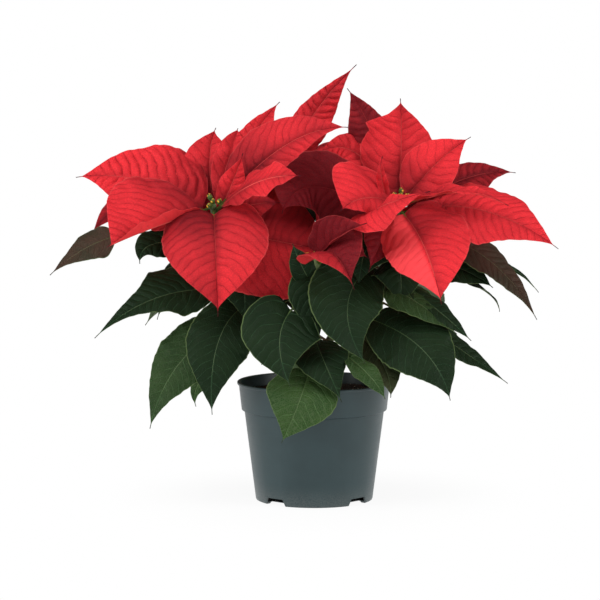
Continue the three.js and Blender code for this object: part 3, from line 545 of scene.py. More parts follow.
def bract_material():
    material, tree, skin = new_material("Bract red")
    red = tuple(bpy.context.scene.poinsettia_blades.bract_colour)
    # The deeper red is painted shade and also colours the fine net; the brighter red is painted
    # light.
    deep_red_and_painted_shade, painted_light_red, spotted = times(red, 0.15, 0.2, 0.25), (0.96, 0.07, 0.08), (0.86, 0.03, 0.04)
    dark_vein, dark_rib = (0.26, 0.004, 0.012), (0.2, 0.004, 0.01)
    pale, pale_vein, pale_rib = (0.76, 0.04, 0.046), (0.72, 0.09, 0.1), (0.66, 0.12, 0.1)
    pink_rim, brown_tip = (0.8, 0.12, 0.11), (0.03, 0.006, 0.01)
    red_stalk, green_stalk = (0.4, 0.03, 0.03), (0.07, 0.1, 0.02)
    side, midrib, net, puff, trough_for_painted_shade = blade_veins(tree, BRACT, 0.3)
    patch, fleck = mottle(tree, 0.03, 0.0012)
    tone, veined = attribute(tree, "tone"), attribute(tree, "veined")
    # The red is deeper in random patches. Its darkening in troughs, near the base and beside the
    # midrib is painted shade, and the tone adds its own pigment and painted shading.
    painted_base_shade = ramp(attribute(tree, "reach"), 0.6, 0.0, 0.0, 0.5)
    painted_midrib_shade = ramp(calc("ABSOLUTE", attribute(tree, "across")), 7.0, 0.0, 0.0, 0.25)
    depth_with_painted_shade = patch * 0.22 - tone * 0.55 + painted_base_shade
    depth_with_painted_shade = trough_for_painted_shade * veined * 0.12 + depth_with_painted_shade + painted_midrib_shade
    colour = blend(ramp(depth_with_painted_shade, 0.0, 1.0, kind="LINEAR"), red, deep_red_and_painted_shade)
    colour = blend(net * 0.22, colour, deep_red_and_painted_shade)
    colour = blend(fleck * 0.1, colour, spotted)
    colour = blend(side * veined * 0.85, colour, dark_vein)
    colour = blend(midrib * 0.75, colour, dark_rib)
    back = blend(side * 0.4, pale, pale_vein)
    back = blend(midrib * 0.5, back, pale_rib)
    # A low tone darkens the underside too, as painted shade, and a high tone blends in the brighter
    # red as painted light on a lit half.
    back = blend(ramp(tone, -0.5, -1.8, 0.0, 0.8), back, deep_red_and_painted_shade)
    colour = blend(ramp(tone, 0.3, 1.3, 0.0, 0.8), colour, painted_light_red)
    colour = blend(attribute(tree, "under"), colour, back)
    colour = blade_ends(tree, colour, (0.965, 0.995, 0.3, pink_rim), (5.0, 2.5, 0.9, brown_tip),
                        (9.0, -2.0, red_stalk, green_stalk))
    skin.inputs["Specular IOR Level"].default_value = 0.09
    height = side * -0.8 + puff - net * 0.5 - midrib * 0.8
    height = patch * 4.0 + (fleck * 0.3 + height)
    coat(tree, skin, colour, fleck * 0.14 + 0.5, height, 0.9, 0.00045)
    return material


def leaf_material():
    material, tree, skin = new_material("Leaf green")
    green = tuple(bpy.context.scene.poinsettia_blades.leaf_colour)
    green_vein, bronze_vein, young_vein = (0.055, 0.13, 0.06), (0.09, 0.03, 0.025), (0.12, 0.21, 0.07)
    young_net, dark_net = (0.1, 0.16, 0.06), (0.004, 0.014, 0.006)
    pale_vein, pale_rib = (0.16, 0.2, 0.1), (0.2, 0.23, 0.12)
    pale_rim, brown_tip = (0.13, 0.19, 0.07), (0.02, 0.02, 0.012)
    green_stalk, red_stalk = (0.1, 0.15, 0.05), (0.11, 0.045, 0.03)
    side, midrib, net, puff, _ = blade_veins(tree, LEAF, 0.5)
    patch, fleck = mottle(tree, 0.025, 0.0012)
    youth, bronze = attribute(tree, "youth"), attribute(tree, "bronze")
    colour = blend(patch * 0.6, green, times(green, 1.8, 1.5, 1.6))
    young = blend(patch, (0.02, 0.06, 0.012), (0.038, 0.088, 0.017))
    colour = blend(youth, colour, blend(net * 0.8, young, young_net))
    brown = blend(patch, (0.042, 0.034, 0.02), (0.07, 0.036, 0.024))
    colour = blend(bronze, colour, brown)
    vein = blend(youth, blend(bronze, green_vein, bronze_vein), young_vein)
    clear = ramp(youth, 0.0, 0.6, 0.45, 0.95)
    colour = blend(side * clear, colour, vein)
    colour = blend(midrib * 0.35, colour, vein)
    colour = blend(net * 0.3, colour, dark_net)
    back = blend(patch, (0.07, 0.115, 0.05), (0.095, 0.14, 0.065))
    back = blend(side * 0.5, back, pale_vein)
    back = blend(midrib * 0.7, back, pale_rib)
    colour = blend(attribute(tree, "under"), colour, back)
    colour = blade_ends(tree, colour, (0.96, 0.995, 0.8, pale_rim), (4.0, 1.5, 0.8, brown_tip),
                        (0.0, -24.0, green_stalk, red_stalk))
    skin.inputs["Specular IOR Level"].default_value = 0.11
    height = side * -0.8 + puff - net * 0.55 - midrib * 0.8
    coat(tree, skin, colour, fleck * 0.16 + 0.42, height, 0.85, 0.00045)
    return material


def stem_material():
    material, tree, skin = new_material("Stem bark")
    patch, fleck = mottle(tree, 0.008, 0.0009)
    young = blend(patch, (0.07, 0.12, 0.03), (0.11, 0.16, 0.045))
    old = blend(patch, (0.09, 0.06, 0.03), (0.17, 0.125, 0.07))
    colour = blend(attribute(tree, "ripe"), young, old)
    colour = blend(fleck * 0.3, colour, (0.04, 0.03, 0.015))
    colour = blend(attribute(tree, "scar") * 0.6, colour, (0.16, 0.12, 0.06))
    coat(tree, skin, colour, fleck * 0.2 + 0.5, fleck, 0.5, 0.0003)
    return material


def pot_material():
    material, tree, skin = new_material("Pot plastic")
    base = tuple(bpy.context.scene.poinsettia_pot.plastic)
    dusty = tuple(channel * 1.5 + 0.01 for channel in base)
    patch, fleck = mottle(tree, 0.03, 0.0007)
    spot = output(tree, "ShaderNodeTexCoord", pick="Object")
    flat = output(tree, "ShaderNodeMapping", {"Vector": spot, "Scale": (60, 60, 1400)})
    lines = noise(tree, flat, 1.0, 2.0)
    colour = blend(patch * 0.3, base, dusty)
    height = output(tree, "ShaderNodeSeparateXYZ", {0: spot}, pick=2)
    colour = blend(ramp(height, 0.02, 0.0) * fleck * 0.35, colour, (0.16, 0.17, 0.16))
    rough = lines * 0.12 + (patch * 0.08 + 0.3)
    coat(tree, skin, colour, rough, fleck * 0.4 + lines, 0.25, 0.0001)
    return material


def compost_material():
    material, tree, skin = new_material("Compost")
    dark = tuple(bpy.context.scene.poinsettia_compost.peat)
    patch, fleck = mottle(tree, 0.01, 0.0011)
    kind = attribute(tree, "tint")
    colour = blend(patch, dark, times(dark, 2.4, 2.4, 2.4))
    colour = blend(ramp(kind, 0.5, 0.9), colour, (0.06, 0.036, 0.022))
    colour = blend(ramp(kind, 0.975, 0.98), colour, (0.45, 0.42, 0.36))
    coat(tree, skin, colour, fleck * 0.3 + 0.65, fleck, 0.8, 0.0008)
    return material


def flower_material():
    material, tree, skin = new_material("True flowers")
    patch, fleck = mottle(tree, 0.003, 0.0005)
    part = attribute(tree, "part")
    colour = blend(patch, (0.045, 0.11, 0.015), (0.09, 0.19, 0.03))
    gland, stamen, pollen = (0.75, 0.4, 0.02), (0.45, 0.03, 0.015), (0.85, 0.5, 0.06)
    for number, own in enumerate((gland, stamen, pollen)):
        colour = blend(ramp(part, number + 0.4, number + 0.6), colour, own)
    coat(tree, skin, colour, fleck * 0.2 + 0.35, fleck, 0.4, 0.0001)
    return material


# ---------------------------------------------------------------- meshes and modifiers


def join(parts):
    """One mesh from several. A part is its points, its faces, its sharp edges and its values."""
    points, faces, sharp, values = zip(*parts)
    firsts = np.cumsum([0] + [len(own) for own in points]).tolist()

    def moved(rows):
        return [tuple(i + first for i in row) for first, own in zip(firsts, rows) for row in own]

    values = {key: np.concatenate([own[key] for own in values]) for key in values[0]}
    return np.concatenate(points), moved(faces), moved(sharp), values


def make_mesh(name, points, faces, floats=None):
    """A smooth mesh from points in mm, with a value for each point under each name."""
    mesh = bpy.data.meshes.new(name)
    mesh.from_pydata((np.asarray(points) * MM).tolist(), [], faces)
    mesh.polygons.foreach_set("use_smooth", [True] * len(mesh.polygons))
    for label, values in (floats or {}).items():
        values = np.asarray(values, dtype=np.float32)
        kind = "FLOAT_VECTOR" if values.ndim == 2 else "FLOAT"
        key = "vector" if values.ndim == 2 else "value"
        mesh.attributes.new(label, kind, "POINT").data.foreach_set(key, values.ravel())
    mesh.update()
    return mesh


def place(name, data):
    """Puts a mesh, a light or a camera into the scene."""
    piece = bpy.data.objects.new(name, data)
    bpy.context.scene.collection.objects.link(piece)
    return piece


def drop(piece):
    """Removes a helper object and its mesh."""
    mesh = piece.data
    bpy.data.objects.remove(piece)
    bpy.data.meshes.remove(mesh)


def settle(piece, name):
    """Turns what a piece's modifiers make of it into a plain mesh of its own."""
    bpy.context.view_layer.update()
    graph = bpy.context.evaluated_depsgraph_get()
    mesh = bpy.data.meshes.new_from_object(
        piece.evaluated_get(graph), preserve_all_data_layers=True, depsgraph=graph)
    mesh.name = name
    done = place(name, mesh)
    drop(piece)
    return done


def grow(name, mesh, tree, inputs):
    """Runs a geometry tree on a mesh and keeps the result as a piece with a plain mesh."""
    piece = place(mesh.name, mesh)
    modifier = piece.modifiers.new(tree.name, "NODES")
    modifier.node_group = tree
    keys = {i.name: i.identifier for i in tree.interface.items_tree if i.in_out == "INPUT"}
    for label, value in inputs.items():
        modifier[keys[label]] = value
    return settle(piece, name)


def finish_piece(piece, material, slot, *nodes):
    """Gives a piece its material and its body and hides the solids it stands for. Its slot is not
    used.
    """
    piece.data.materials.clear()
    piece.data.materials.append(material)
    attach(piece, BODY)
    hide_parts(*nodes)


# ---------------------------------------------------------------- curves


def through(start, middle, end):
    """The three control points of a curve that passes through middle halfway along."""
    start, middle, end = (np.array(p, dtype=float) for p in (start, middle, end))
    return start, 2 * middle - (start + end) / 2, end


def on_curve(curve, t):
    a, b, c = curve
    t = np.asarray(t, dtype=float)[..., None]
    return (1 - t) ** 2 * a + 2 * t * (1 - t) * b + t ** 2 * c


def unit(v):
    return v / np.linalg.norm(v, axis=-1, keepdims=True)


def heading(curve, t):
    a, b, c = curve
    t = np.asarray(t, dtype=float)[..., None]
    return unit((1 - t) * (b - a) + t * (c - b))


def distances(points):
    """How far each point of a path lies from its start, along the path."""
    steps = np.linalg.norm(np.diff(points, axis=0), axis=1)
    return np.concatenate([[0], np.cumsum(steps)])


def branch_curve(side):
    return through(*BRANCHES[side][:3])


def axis_curve(side):
    branch = branch_curve(side)
    onward = heading(branch, 1.0)
    start = branch[2] + onward * JOINT_GAP
    head = np.array(BRANCHES[side][3], dtype=float)
    return start, start + onward * np.linalg.norm(head - start) / 2, head


# ---------------------------------------------------------------- blades

ROW_STEP, COLUMN_STEP = 1.12, 2.1         # size of a blade's faces along it and across it
FEWEST_ROWS = 16
MIDRIB_COLUMNS = (0.0, 0.6, 1.5, 2.8)     # columns close to the midrib, in mm from it
OUTER_COLUMN = 4.6                        # where the evenly spaced columns start, in mm
RIM_COLUMNS = (0.99, 1.0)                 # columns close to the edge, as shares of the width
THREAD = 0.3                    # half the width of the thread that a blade ends in
TIP_POWER = 1.35                # how sharply the outline draws in to the tip
LOBE_LENGTH = 0.1               # the share of a blade over which a lobe rises or falls
EAR_LENGTH = 0.35               # the share of a blade that its ears draw back
WAVE_LAG = 1.7                  # how far the left half's waves lag behind, in radians
RIM_THINNING = 0.45             # how much thinner a blade is at its edge
RAG, RUFFLE = 0.32, 0.8         # depth of the outline's small waves, and height of the edge's
FULL_RUFFLE = 24                # narrower blades than this half-width have smaller waves
RAG_LENGTHS = ((7, 12, 21), (6, 14, 19))              # wavelengths on the left and the right
RUFFLE_LENGTHS = ((11, 17, 29), (10, 19, 27))
STALK_RADIUS = 1.15
STALK_SIDES = 8
STALK_STEP = 2.6                # length of a stalk's pieces, whose count is never under ten
STALK_TAPER = 0.25              # how much thinner a stalk is where its blade starts
RIB_END = 0.93                  # how far along the blade its stalk runs on as a midrib
RIB_RADIUS = 0.12               # the midrib's radius at its end
LENGTH_STEPS = 60               # points along a blade by which its length is measured


def outline(u, shape):
    """Half-width along a blade as a share of the greatest."""
    u = np.minimum(u / (1 - shape["thread"] / shape["length"]), 1)
    widest = shape["widest"]
    rise = (1 - (1 - np.clip(u / widest, 0, 1)) ** 2) ** shape["shoulder"]
    v = np.clip((u - widest) / (1 - widest), 0, 1)
    fall = (1 - v ** shape["belly"]) ** TIP_POWER
    return np.where(u < widest, rise, fall)


def side_value(pair, v):
    """The first of a pair on the right half of a blade, and the second on the left."""
    return np.where(v < 0, pair[1], pair[0])


def small_waves(distance, left, phases, lengths):
    """Sums of three unrelated waves, one sum for each half, between about -1 and 1."""
    sums = []
    for sizes, starts in zip(lengths, np.split(phases, 2)):
        waves = [np.sin(2 * np.pi * distance / size + start)
                 for size, start in zip(sizes, starts)]
        sums.append(sum(waves) / len(waves) ** 0.5)
    return np.where(left, *sums)


def face_up(shape, along):
    """The direction of a blade's upper face, square to its heading."""
    face = np.array(shape["face"], dtype=float)
    return unit(face - np.sum(face * along, axis=-1, keepdims=True) * along)


def blade_width(shape, u, left, share):
    """Half-width at each point, with the blade's skew, lobes and ragged edge."""
    width = shape["half"] * share * (1 + np.where(left, -shape["skew"], shape["skew"]))
    for half, spot, reach in shape["lobes"]:
        near = np.clip(1 - np.abs(u - spot) / LOBE_LENGTH, 0, None)
        width = width + np.where(left == bool(half), reach * near, 0)
    ragged = small_waves(u * shape["length"], left, shape["phases"][:6], RAG_LENGTHS)
    return np.maximum(width + RAG * shape["small"] * ragged * np.sqrt(share), THREAD)


def blade_surface(shape, u, v):
    """The middle of a blade at u along it and v across it, and its half-width there."""
    t = shape["stalk"] + (1 - shape["stalk"]) * u
    along = heading(shape["curve"], t)
    up = face_up(shape, along)
    side = np.cross(along, up)
    left = v < 0
    share = np.maximum(outline(u, shape), THREAD / shape["half"])
    width = blade_width(shape, u, left, share)
    opened = np.radians(side_value(shape["fold"], v))
    bend = np.radians(side_value(shape["roll"], v)) * share + 1e-6
    reach = np.abs(v)
    across = width * (np.sin(opened + bend * reach) - np.sin(opened)) / bend
    rise = width * (np.cos(opened) - np.cos(opened + bend * reach)) / bend
    turn = 2 * np.pi * shape["crests"] * u + np.where(left, WAVE_LAG, 0)
    rise = rise + shape["wave"] * share * reach ** 2 * np.sin(turn)
    ruffle = small_waves(u * shape["length"], left, shape["phases"][6:], RUFFLE_LENGTHS)
    rise = rise + RUFFLE * shape["small"] * share * reach ** 3 * ruffle
    centre = on_curve(shape["curve"], t)
    spot = centre + side * (across * np.sign(v))[..., None] + up * rise[..., None]
    near = np.clip(1 - u / EAR_LENGTH, 0, None) ** 2 * np.clip(share * 2, 0, 1)
    back = shape["ears"] * near * np.sqrt(reach)
    return spot - along * back[..., None], width


def blade_columns(half):
    """Places across a blade from edge to edge, closer together at the midrib and the edges."""
    count = max(4, round(half / COLUMN_STEP))
    outer = np.linspace(OUTER_COLUMN / half, 0.97, count).tolist()
    right = {spot / half for spot in MIDRIB_COLUMNS}.union(outer, RIM_COLUMNS)
    right = sorted(spot for spot in right if spot <= 1.0)
    return np.array([-spot for spot in right[:0:-1]] + right)


def grid_faces(rows, columns):
    """A blade's two faces and the strip round its edge. Also gives the edge's loop."""
    index = np.arange(rows * columns).reshape(rows, columns)
    a, b = index[:-1, :-1], index[:-1, 1:]
    c, d = index[1:, 1:], index[1:, :-1]
    top = np.stack([a, b, c, d], axis=-1).reshape(-1, 4)
    total = rows * columns
    below = top[:, ::-1] + total
    loop = np.concatenate([index[0, :], index[1:, -1], index[-1, -2::-1], index[-2:0:-1, 0]])
    onward = np.roll(loop, -1)
    strip = np.stack([onward, loop, loop + total, onward + total], axis=-1)
    return np.concatenate([top, below, strip]), loop


def tube(centres, radii, sides, up):
    """A round tube along centres with flat ends, as points and faces."""
    along = unit(np.gradient(centres, axis=0))
    across = unit(np.cross(along, up))
    other = np.cross(across, along)
    angle = np.arange(sides) / sides * 2 * np.pi
    ring = (across[:, None] * np.cos(angle)[None, :, None]
            + other[:, None] * np.sin(angle)[None, :, None])
    points = (centres[:, None] + ring * radii[:, None, None]).reshape(-1, 3)
    index = np.arange(len(points)).reshape(-1, sides)
    turned = np.roll(index, -1, axis=1)
    faces = np.stack([index[:-1], turned[:-1], turned[1:], index[1:]], axis=-1).reshape(-1, 4)
    return points, faces.tolist() + [index[0, ::-1].tolist(), index[-1].tolist()]


def blade_skin(shape, thickness):
    """A blade's two faces and its edge."""
    rows = max(FEWEST_ROWS, round(shape["length"] / ROW_STEP))
    u, v = np.broadcast_arrays(np.linspace(0, 1, rows)[:, None], blade_columns(shape["half"]))
    middle, width = blade_surface(shape, u, v)
    normal = unit(np.cross(np.gradient(middle, axis=1), np.gradient(middle, axis=0)))
    if np.mean(normal @ np.array(shape["face"], dtype=float)) < 0:
        normal = -normal
    edge = np.abs(v)
    lift = normal * (thickness / 2 * (1 - RIM_THINNING * edge ** 6))[..., None]
    points = np.concatenate([middle + lift, middle - lift]).reshape(-1, 3)
    faces, loop = grid_faces(*u.shape)
    a, b, _, d = points[faces[0]]
    if np.dot(np.cross(b - a, d - a), normal[0, 0]) < 0:
        faces = faces[:, ::-1]
    sharp = np.stack([loop, np.roll(loop, -1)], axis=-1)
    # Painted light and shade for each half, growing from the midrib outwards, is added to the tone.
    painted_half_shading = side_value(shape["painted_half_shading"], v) * np.clip(edge * 6, 0, 1)
    values = {
        "along": u * shape["length"], "across": v * width, "edge": edge,
        "to_tip": (1 - u) * shape["length"], "reach": u, "stalk": 0 * u,
        "tone": shape["tone"] + painted_half_shading,
    }
    values = {key: np.tile(value.ravel(), 2) for key, value in values.items()}
    values["under"] = np.repeat((0.0, 1.0), u.size)
    values["lift"] = np.tile(normal.reshape(-1, 3), (2, 1))
    return points, faces.tolist(), np.concatenate([sharp, sharp + u.size]).tolist(), values


def blade_stalk(shape):
    """A blade's stalk, which runs on under the blade as its midrib and thins out."""
    stalk = shape["stalk"]
    whole = shape["length"] / (1 - stalk)
    steps = max(10, round(whole * 0.95 / STALK_STEP))
    s = np.linspace(0.0, stalk + (1 - stalk) * RIB_END, steps)
    run = np.clip((s - stalk) / (1 - stalk), 0, 1)
    radii = np.where(s < stalk, STALK_RADIUS * (1 - STALK_TAPER * s / stalk),
                     STALK_RADIUS * (1 - STALK_TAPER) * (1 - run) ** 0.8 + RIB_RADIUS)
    up = face_up(shape, heading(shape["curve"], s))
    # Over its last third the stalk sinks until it lies under the blade.
    sink = np.clip((s - stalk * 0.7) / (stalk * 0.3 + 0.04), 0, 1)
    centres = on_curve(shape["curve"], s) - up * (sink * (radii * 0.9 + 0.1))[:, None]
    points, faces = tube(centres, radii, STALK_SIDES, up)
    values = {
        "along": (s - stalk) * whole, "across": 0 * s, "edge": 0 * s, "reach": 0 * s,
        "to_tip": (1 - s) * whole, "stalk": np.clip(1.6 - 4 * run, 0, 1),
        "tone": shape["tone"] + 0 * s, "under": 0 * s + 1,
    }
    values = {key: np.repeat(value, STALK_SIDES) for key, value in values.items()}
    values["lift"] = np.zeros((len(points), 3))
    return points, faces, [], values


def build_blade(shape, thickness):
    """One blade with its stalk: points, faces, sharp edges and the values of each point."""
    fine = on_curve(shape["curve"], np.linspace(shape["stalk"], 1, LENGTH_STEPS))
    shape["length"] = float(np.linalg.norm(np.diff(fine, axis=0), axis=1).sum())
    points, faces, sharp, values = join([blade_skin(shape, thickness), blade_stalk(shape)])
    for key in ("half", "youth", "bronze", "pleat", "veined"):
        values[key] = np.full(len(points), float(shape[key]))
    return points, faces, sharp, values


def build_relief_tree():
    """Puffs a blade up between its side veins and sinks its midrib."""
    tree, given, result = new_geometry_group("Blade relief", {
        "Vein Spacing": 6.2, "Slant": 0.45, "Sweep": 0.35, "Midrib Depth": 0.35})
    names = ("along", "across", "half", "edge", "reach", "pleat")
    along, across, half, edge, reach, pleat = (field(tree, name) for name in names)
    phase = vein_phase(along, across, half, given["Vein Spacing"], given["Slant"],
                       given["Sweep"])
    # One crest stands between each two veins, and a noise that follows the veins crumples it.
    crest = calc("POWER", calc("ABSOLUTE", calc("SINE", phase * math.pi)), 0.7) - 0.6
    spot = output(tree, "ShaderNodeCombineXYZ", {0: phase * 1.7, 1: across * 0.1})
    crest = (noise(tree, spot, 1.0, 2.0) - 0.5) * 1.5 + crest
    # The crests fade out at the edge, at the midrib, at the base and at the tip.
    near = calc("ABSOLUTE", across)
    fade = ramp(edge, 1.0, 0.7) * ramp(near, 0.4, 4.0)
    fade = fade * ramp(reach, 0.0, 0.08) * ramp(reach, 0.98, 0.85)
    groove = ramp(near, 2.0, 0.0, 0.0, given["Midrib Depth"]) * ramp(reach, 0.98, 0.7)
    offset = scaled(tree, field(tree, "lift", "FLOAT_VECTOR"),
                    (crest * pleat * fade - groove) * MM)
    moved = output(tree, "GeometryNodeSetPosition", {0: given["Geometry"], "Offset": offset})
    return finish_geometry(tree, moved, given, result)


def blade_piece(name, rows, usual, stem, thickness, material, draw):
    """All the blades on one stem as one mesh, with the relief of their veins."""
    blades = []
    for at, middle, tip, face, half, *own in rows:
        shape = dict(usual, face=face, half=half, **(own[0] if own else {}))
        shape["curve"] = through(on_curve(stem, at), middle, tip)
        shape["phases"] = draw.uniform(0, 2 * math.pi, 12)
        shape["small"] = min(1.0, half / FULL_RUFFLE)
        blades.append(build_blade(shape, thickness / MM))
    points, faces, sharp, values = join(blades)
    mesh = make_mesh(name, points, faces, values)
    edges = {tuple(sorted(e.vertices)): e.index for e in mesh.edges}
    flags = np.zeros(len(mesh.edges), dtype=bool)
    flags[[edges[tuple(sorted(pair))] for pair in sharp]] = True
    mesh.attributes.new("sharp_edge", "BOOLEAN", "EDGE").data.foreach_set("value", flags)
    tree = bpy.data.node_groups.get("Blade relief") or build_relief_tree()
    return grow(name, mesh, tree, {
        "Vein Spacing": vein_spacing(usual), "Slant": usual["slant"], "Sweep": usual["sweep"],
        "Material": material})


# ---------------------------------------------------------------- stems

TRUNK_FOOT, TRUNK_TOP = 66.4, 140
TRUNK_SCARS = (33, 44, 52, 60)
TRUNK_ROWS, BRANCH_ROWS, AXIS_ROWS = 64, 90, 24
TRUNK_TAPER = 0.2               # how much thinner the main stem is at its top
BRANCH_BARK = 0.5               # how woody the bark is where the branches start, from 0 to 1
BRANCH_START = 0.07             # the share of a branch's curve that the main stem hides
AXIS_SPAN = (0.03, 0.97)        # the share of a head's axis that its stem covers
SCAR_LENGTH = 2.2               # how far a leaf joint's swelling reaches along the stem


def build_stem_tree():
    """A round stem along a path, as thick as each point of the path says."""
    tree, given, result = new_geometry_group("Stem", {"Sides": 14, "Roughness": 0.0002})
    path = output(tree, "GeometryNodeMeshToCurve", {0: given["Geometry"]})
    ring = output(tree, "GeometryNodeCurvePrimitiveCircle",
                  {"Resolution": given["Sides"], "Radius": 1.0})
    skin = output(tree, "GeometryNodeCurveToMesh", {
        "Curve": path, "Profile Curve": ring, "Scale": field(tree, "girth"),
        "Fill Caps": True})
    grain = output(tree, "ShaderNodeTexNoise", {"Scale": 260.0, "Detail": 2.0})
    normal = output(tree, "GeometryNodeInputNormal")
    offset = scaled(tree, normal, (grain - 0.5) * given["Roughness"])
    rough = output(tree, "GeometryNodeSetPosition", {0: skin, "Offset": offset})
    smooth = output(tree, "GeometryNodeSetShadeSmooth", {0: rough, "Shade Smooth": True})
    return finish_geometry(tree, smooth, given, result)


def stem_piece(name, centres, girths, ripe, scars, material):
    """A stem as a mesh. scars are the distances along it, in mm, where leaves joined it."""
    run = distances(centres)
    swell = sum((np.exp(-((run - s) / SCAR_LENGTH) ** 2) for s in scars), np.zeros(len(run)))
    swell = np.clip(swell, 0, 1)
    girths = girths + bpy.context.scene.poinsettia_stems.knuckle / MM * swell
    mesh = bpy.data.meshes.new(name)
    edges = [(i, i + 1) for i in range(len(centres) - 1)]
    mesh.from_pydata((centres * MM).tolist(), edges, [])
    for label, values in (("girth", girths * MM), ("ripe", ripe), ("scar", swell)):
        values = np.asarray(values, dtype=np.float32)
        mesh.attributes.new(label, "FLOAT", "POINT").data.foreach_set("value", values)
    tree = bpy.data.node_groups.get("Stem") or build_stem_tree()
    return grow(name, mesh, tree, {"Material": material})


# ---------------------------------------------------------------- flowers

URN = ((0, 0), (1.1, 0.1), (1.9, 1.2), (2.3, 2.9), (2.1, 4.6), (1.55, 5.6), (1.3, 6.0),
       (1.0, 5.9), (0.7, 5.2), (0, 5.0))
GLAND = ((0, -0.5), (0.9, -0.35), (1.25, 0), (0.9, 0.35), (0, 0.2))
POLLEN = ((0, -0.3), (0.34, -0.12), (0.36, 0.12), (0, 0.3))
GLAND_PLACE = (0, -2.0, 4.7)
STAMEN_FOOT = 5.2
STAMENS = ((0.0, 1.9), (0.7, 1.5), (0.65, 1.7), (0.75, 1.2))     # each one's lean and height
STAMEN_TURN = 2.2               # the angle from one stamen to the next, in radians
CUP_RING = 4.1                  # how far the outer cups stand from the middle one
CUP_TILT = 0.35
CUP_LIFT = 0.9


def lathe_points(profile, sides):
    """Points and faces of a turned shape whose ends lie on the axis."""
    angle = np.arange(sides) / sides * 2 * np.pi
    rings = [np.stack([r * np.cos(angle), r * np.sin(angle), np.full(sides, z)], axis=-1)
             for r, z in profile[1:-1]]
    points = np.concatenate([[[0, 0, profile[0][1]]], *rings, [[0, 0, profile[-1][1]]]])
    faces = []
    last = len(points) - 1
    for i in range(sides):
        j = (i + 1) % sides
        faces.append((0, 1 + j, 1 + i))
        for row in range(len(rings) - 1):
            a = 1 + row * sides
            faces.append((a + i, a + j, a + sides + j, a + sides + i))
        faces.append((last, last - sides + i, last - sides + j))
    return points, faces


def flower_cup():
    """One true flower: a green cup, its yellow nectar gland and a few stamens."""
    lip, lip_faces = lathe_points(GLAND, 10)
    y, z = lip[:, 1] * 0.75, lip[:, 2]
    tilted = np.stack([lip[:, 0], y * 0.5 - z * 0.87, y * 0.87 + z * 0.5], axis=-1)
    parts = [(*lathe_points(URN, 12), 0.0), (tilted + GLAND_PLACE, lip_faces, 1.0)]
    for i, (lean, tall) in enumerate(STAMENS):
        angle = i * STAMEN_TURN
        stray = np.array([lean * math.cos(angle), lean * math.sin(angle), 0])
        foot = np.array([0, 0, STAMEN_FOOT])
        stamen, faces = lathe_points([(0, 0), (0.2, 0.05), (0.17, tall), (0, tall)], 5)
        parts.append((stamen + stamen[:, 2:] / tall * stray + foot, faces, 2.0))
        head, faces = lathe_points(POLLEN, 6)
        parts.append((head + foot + stray + (0, 0, tall), faces, 3.0))
    points, faces, _, values = join([
        (own, faces, [], {"part": np.full(len(own), number)}) for own, faces, number in parts])
    return make_mesh("Flower cup", points, faces, values)


def build_cluster_tree():
    """Sets one cup on each point, along the point's own direction and turned at random."""
    tree, given, result = new_geometry_group("Flower cluster", {
        "Cup": "Object", "Smallest": 0.86, "Largest": 1.04, "Seed": 3})
    aim = field(tree, "aim", "FLOAT_VECTOR")
    turn = output(tree, "FunctionNodeAlignRotationToVector", {"Vector": aim}, axis="Z")
    spin = chance(tree, 0.0, 2 * math.pi, given["Seed"])
    own = output(tree, "FunctionNodeAxisAngleToRotation", {"Axis": (0, 0, 1), "Angle": spin})
    both = output(tree, "FunctionNodeRotateRotation", {0: turn, 1: own},
                  rotation_space="LOCAL")
    size = chance(tree, given["Smallest"], given["Largest"], given["Seed"] + 5)
    cup = output(tree, "GeometryNodeObjectInfo", {"Object": given["Cup"]}, pick="Geometry")
    many = output(tree, "GeometryNodeInstanceOnPoints", {
        "Points": given["Geometry"], "Instance": cup, "Rotation": both, "Scale": size})
    return finish_geometry(tree, many, given, result)


# ---------------------------------------------------------------- compost

BED_FOOT_RADIUS = 46.0
BED_FOOT = 12.0                 # how high the bed's flat underside is
WALL_LOW = (47.0, 20.0)         # radius and height where the bed's wall starts
WALL_STEPS = 6
EDGE_RADIUS = 60.2
EDGE_DROP = 0.8                 # how far the wall ends below the level
CROWN = 3.0                     # how much the compost rises towards the stem
RINGS, BED_SIDES = 34, 120
BED_SEED = 4
BUMPS = 46                      # how many waves make the surface uneven
BUMP_SIZES = (5, 26)            # their lengths
BUMP_HEIGHT = 0.16
CRUMB_DROP = 0.6                # how far below the level crumbs still lie
PHASES = 6.28                   # the range of a wave's phase, and of a crumb's turn


def bed_profile(level):
    """The compost's outline from the middle of its underside to its crown, in mm."""
    low, start = WALL_LOW
    profile = [(0, BED_FOOT), (BED_FOOT_RADIUS, BED_FOOT)]
    for i in range(WALL_STEPS + 1):
        profile.append((low + (EDGE_RADIUS - low) * i / WALL_STEPS,
                        start + (level - EDGE_DROP - start) * i / WALL_STEPS))
    for i in range(RINGS):
        profile.append((EDGE_RADIUS * (1 - i / RINGS),
                        level + CROWN * math.sin(math.pi / 2 * i / RINGS)))
    return profile + [(0, level + CROWN)]


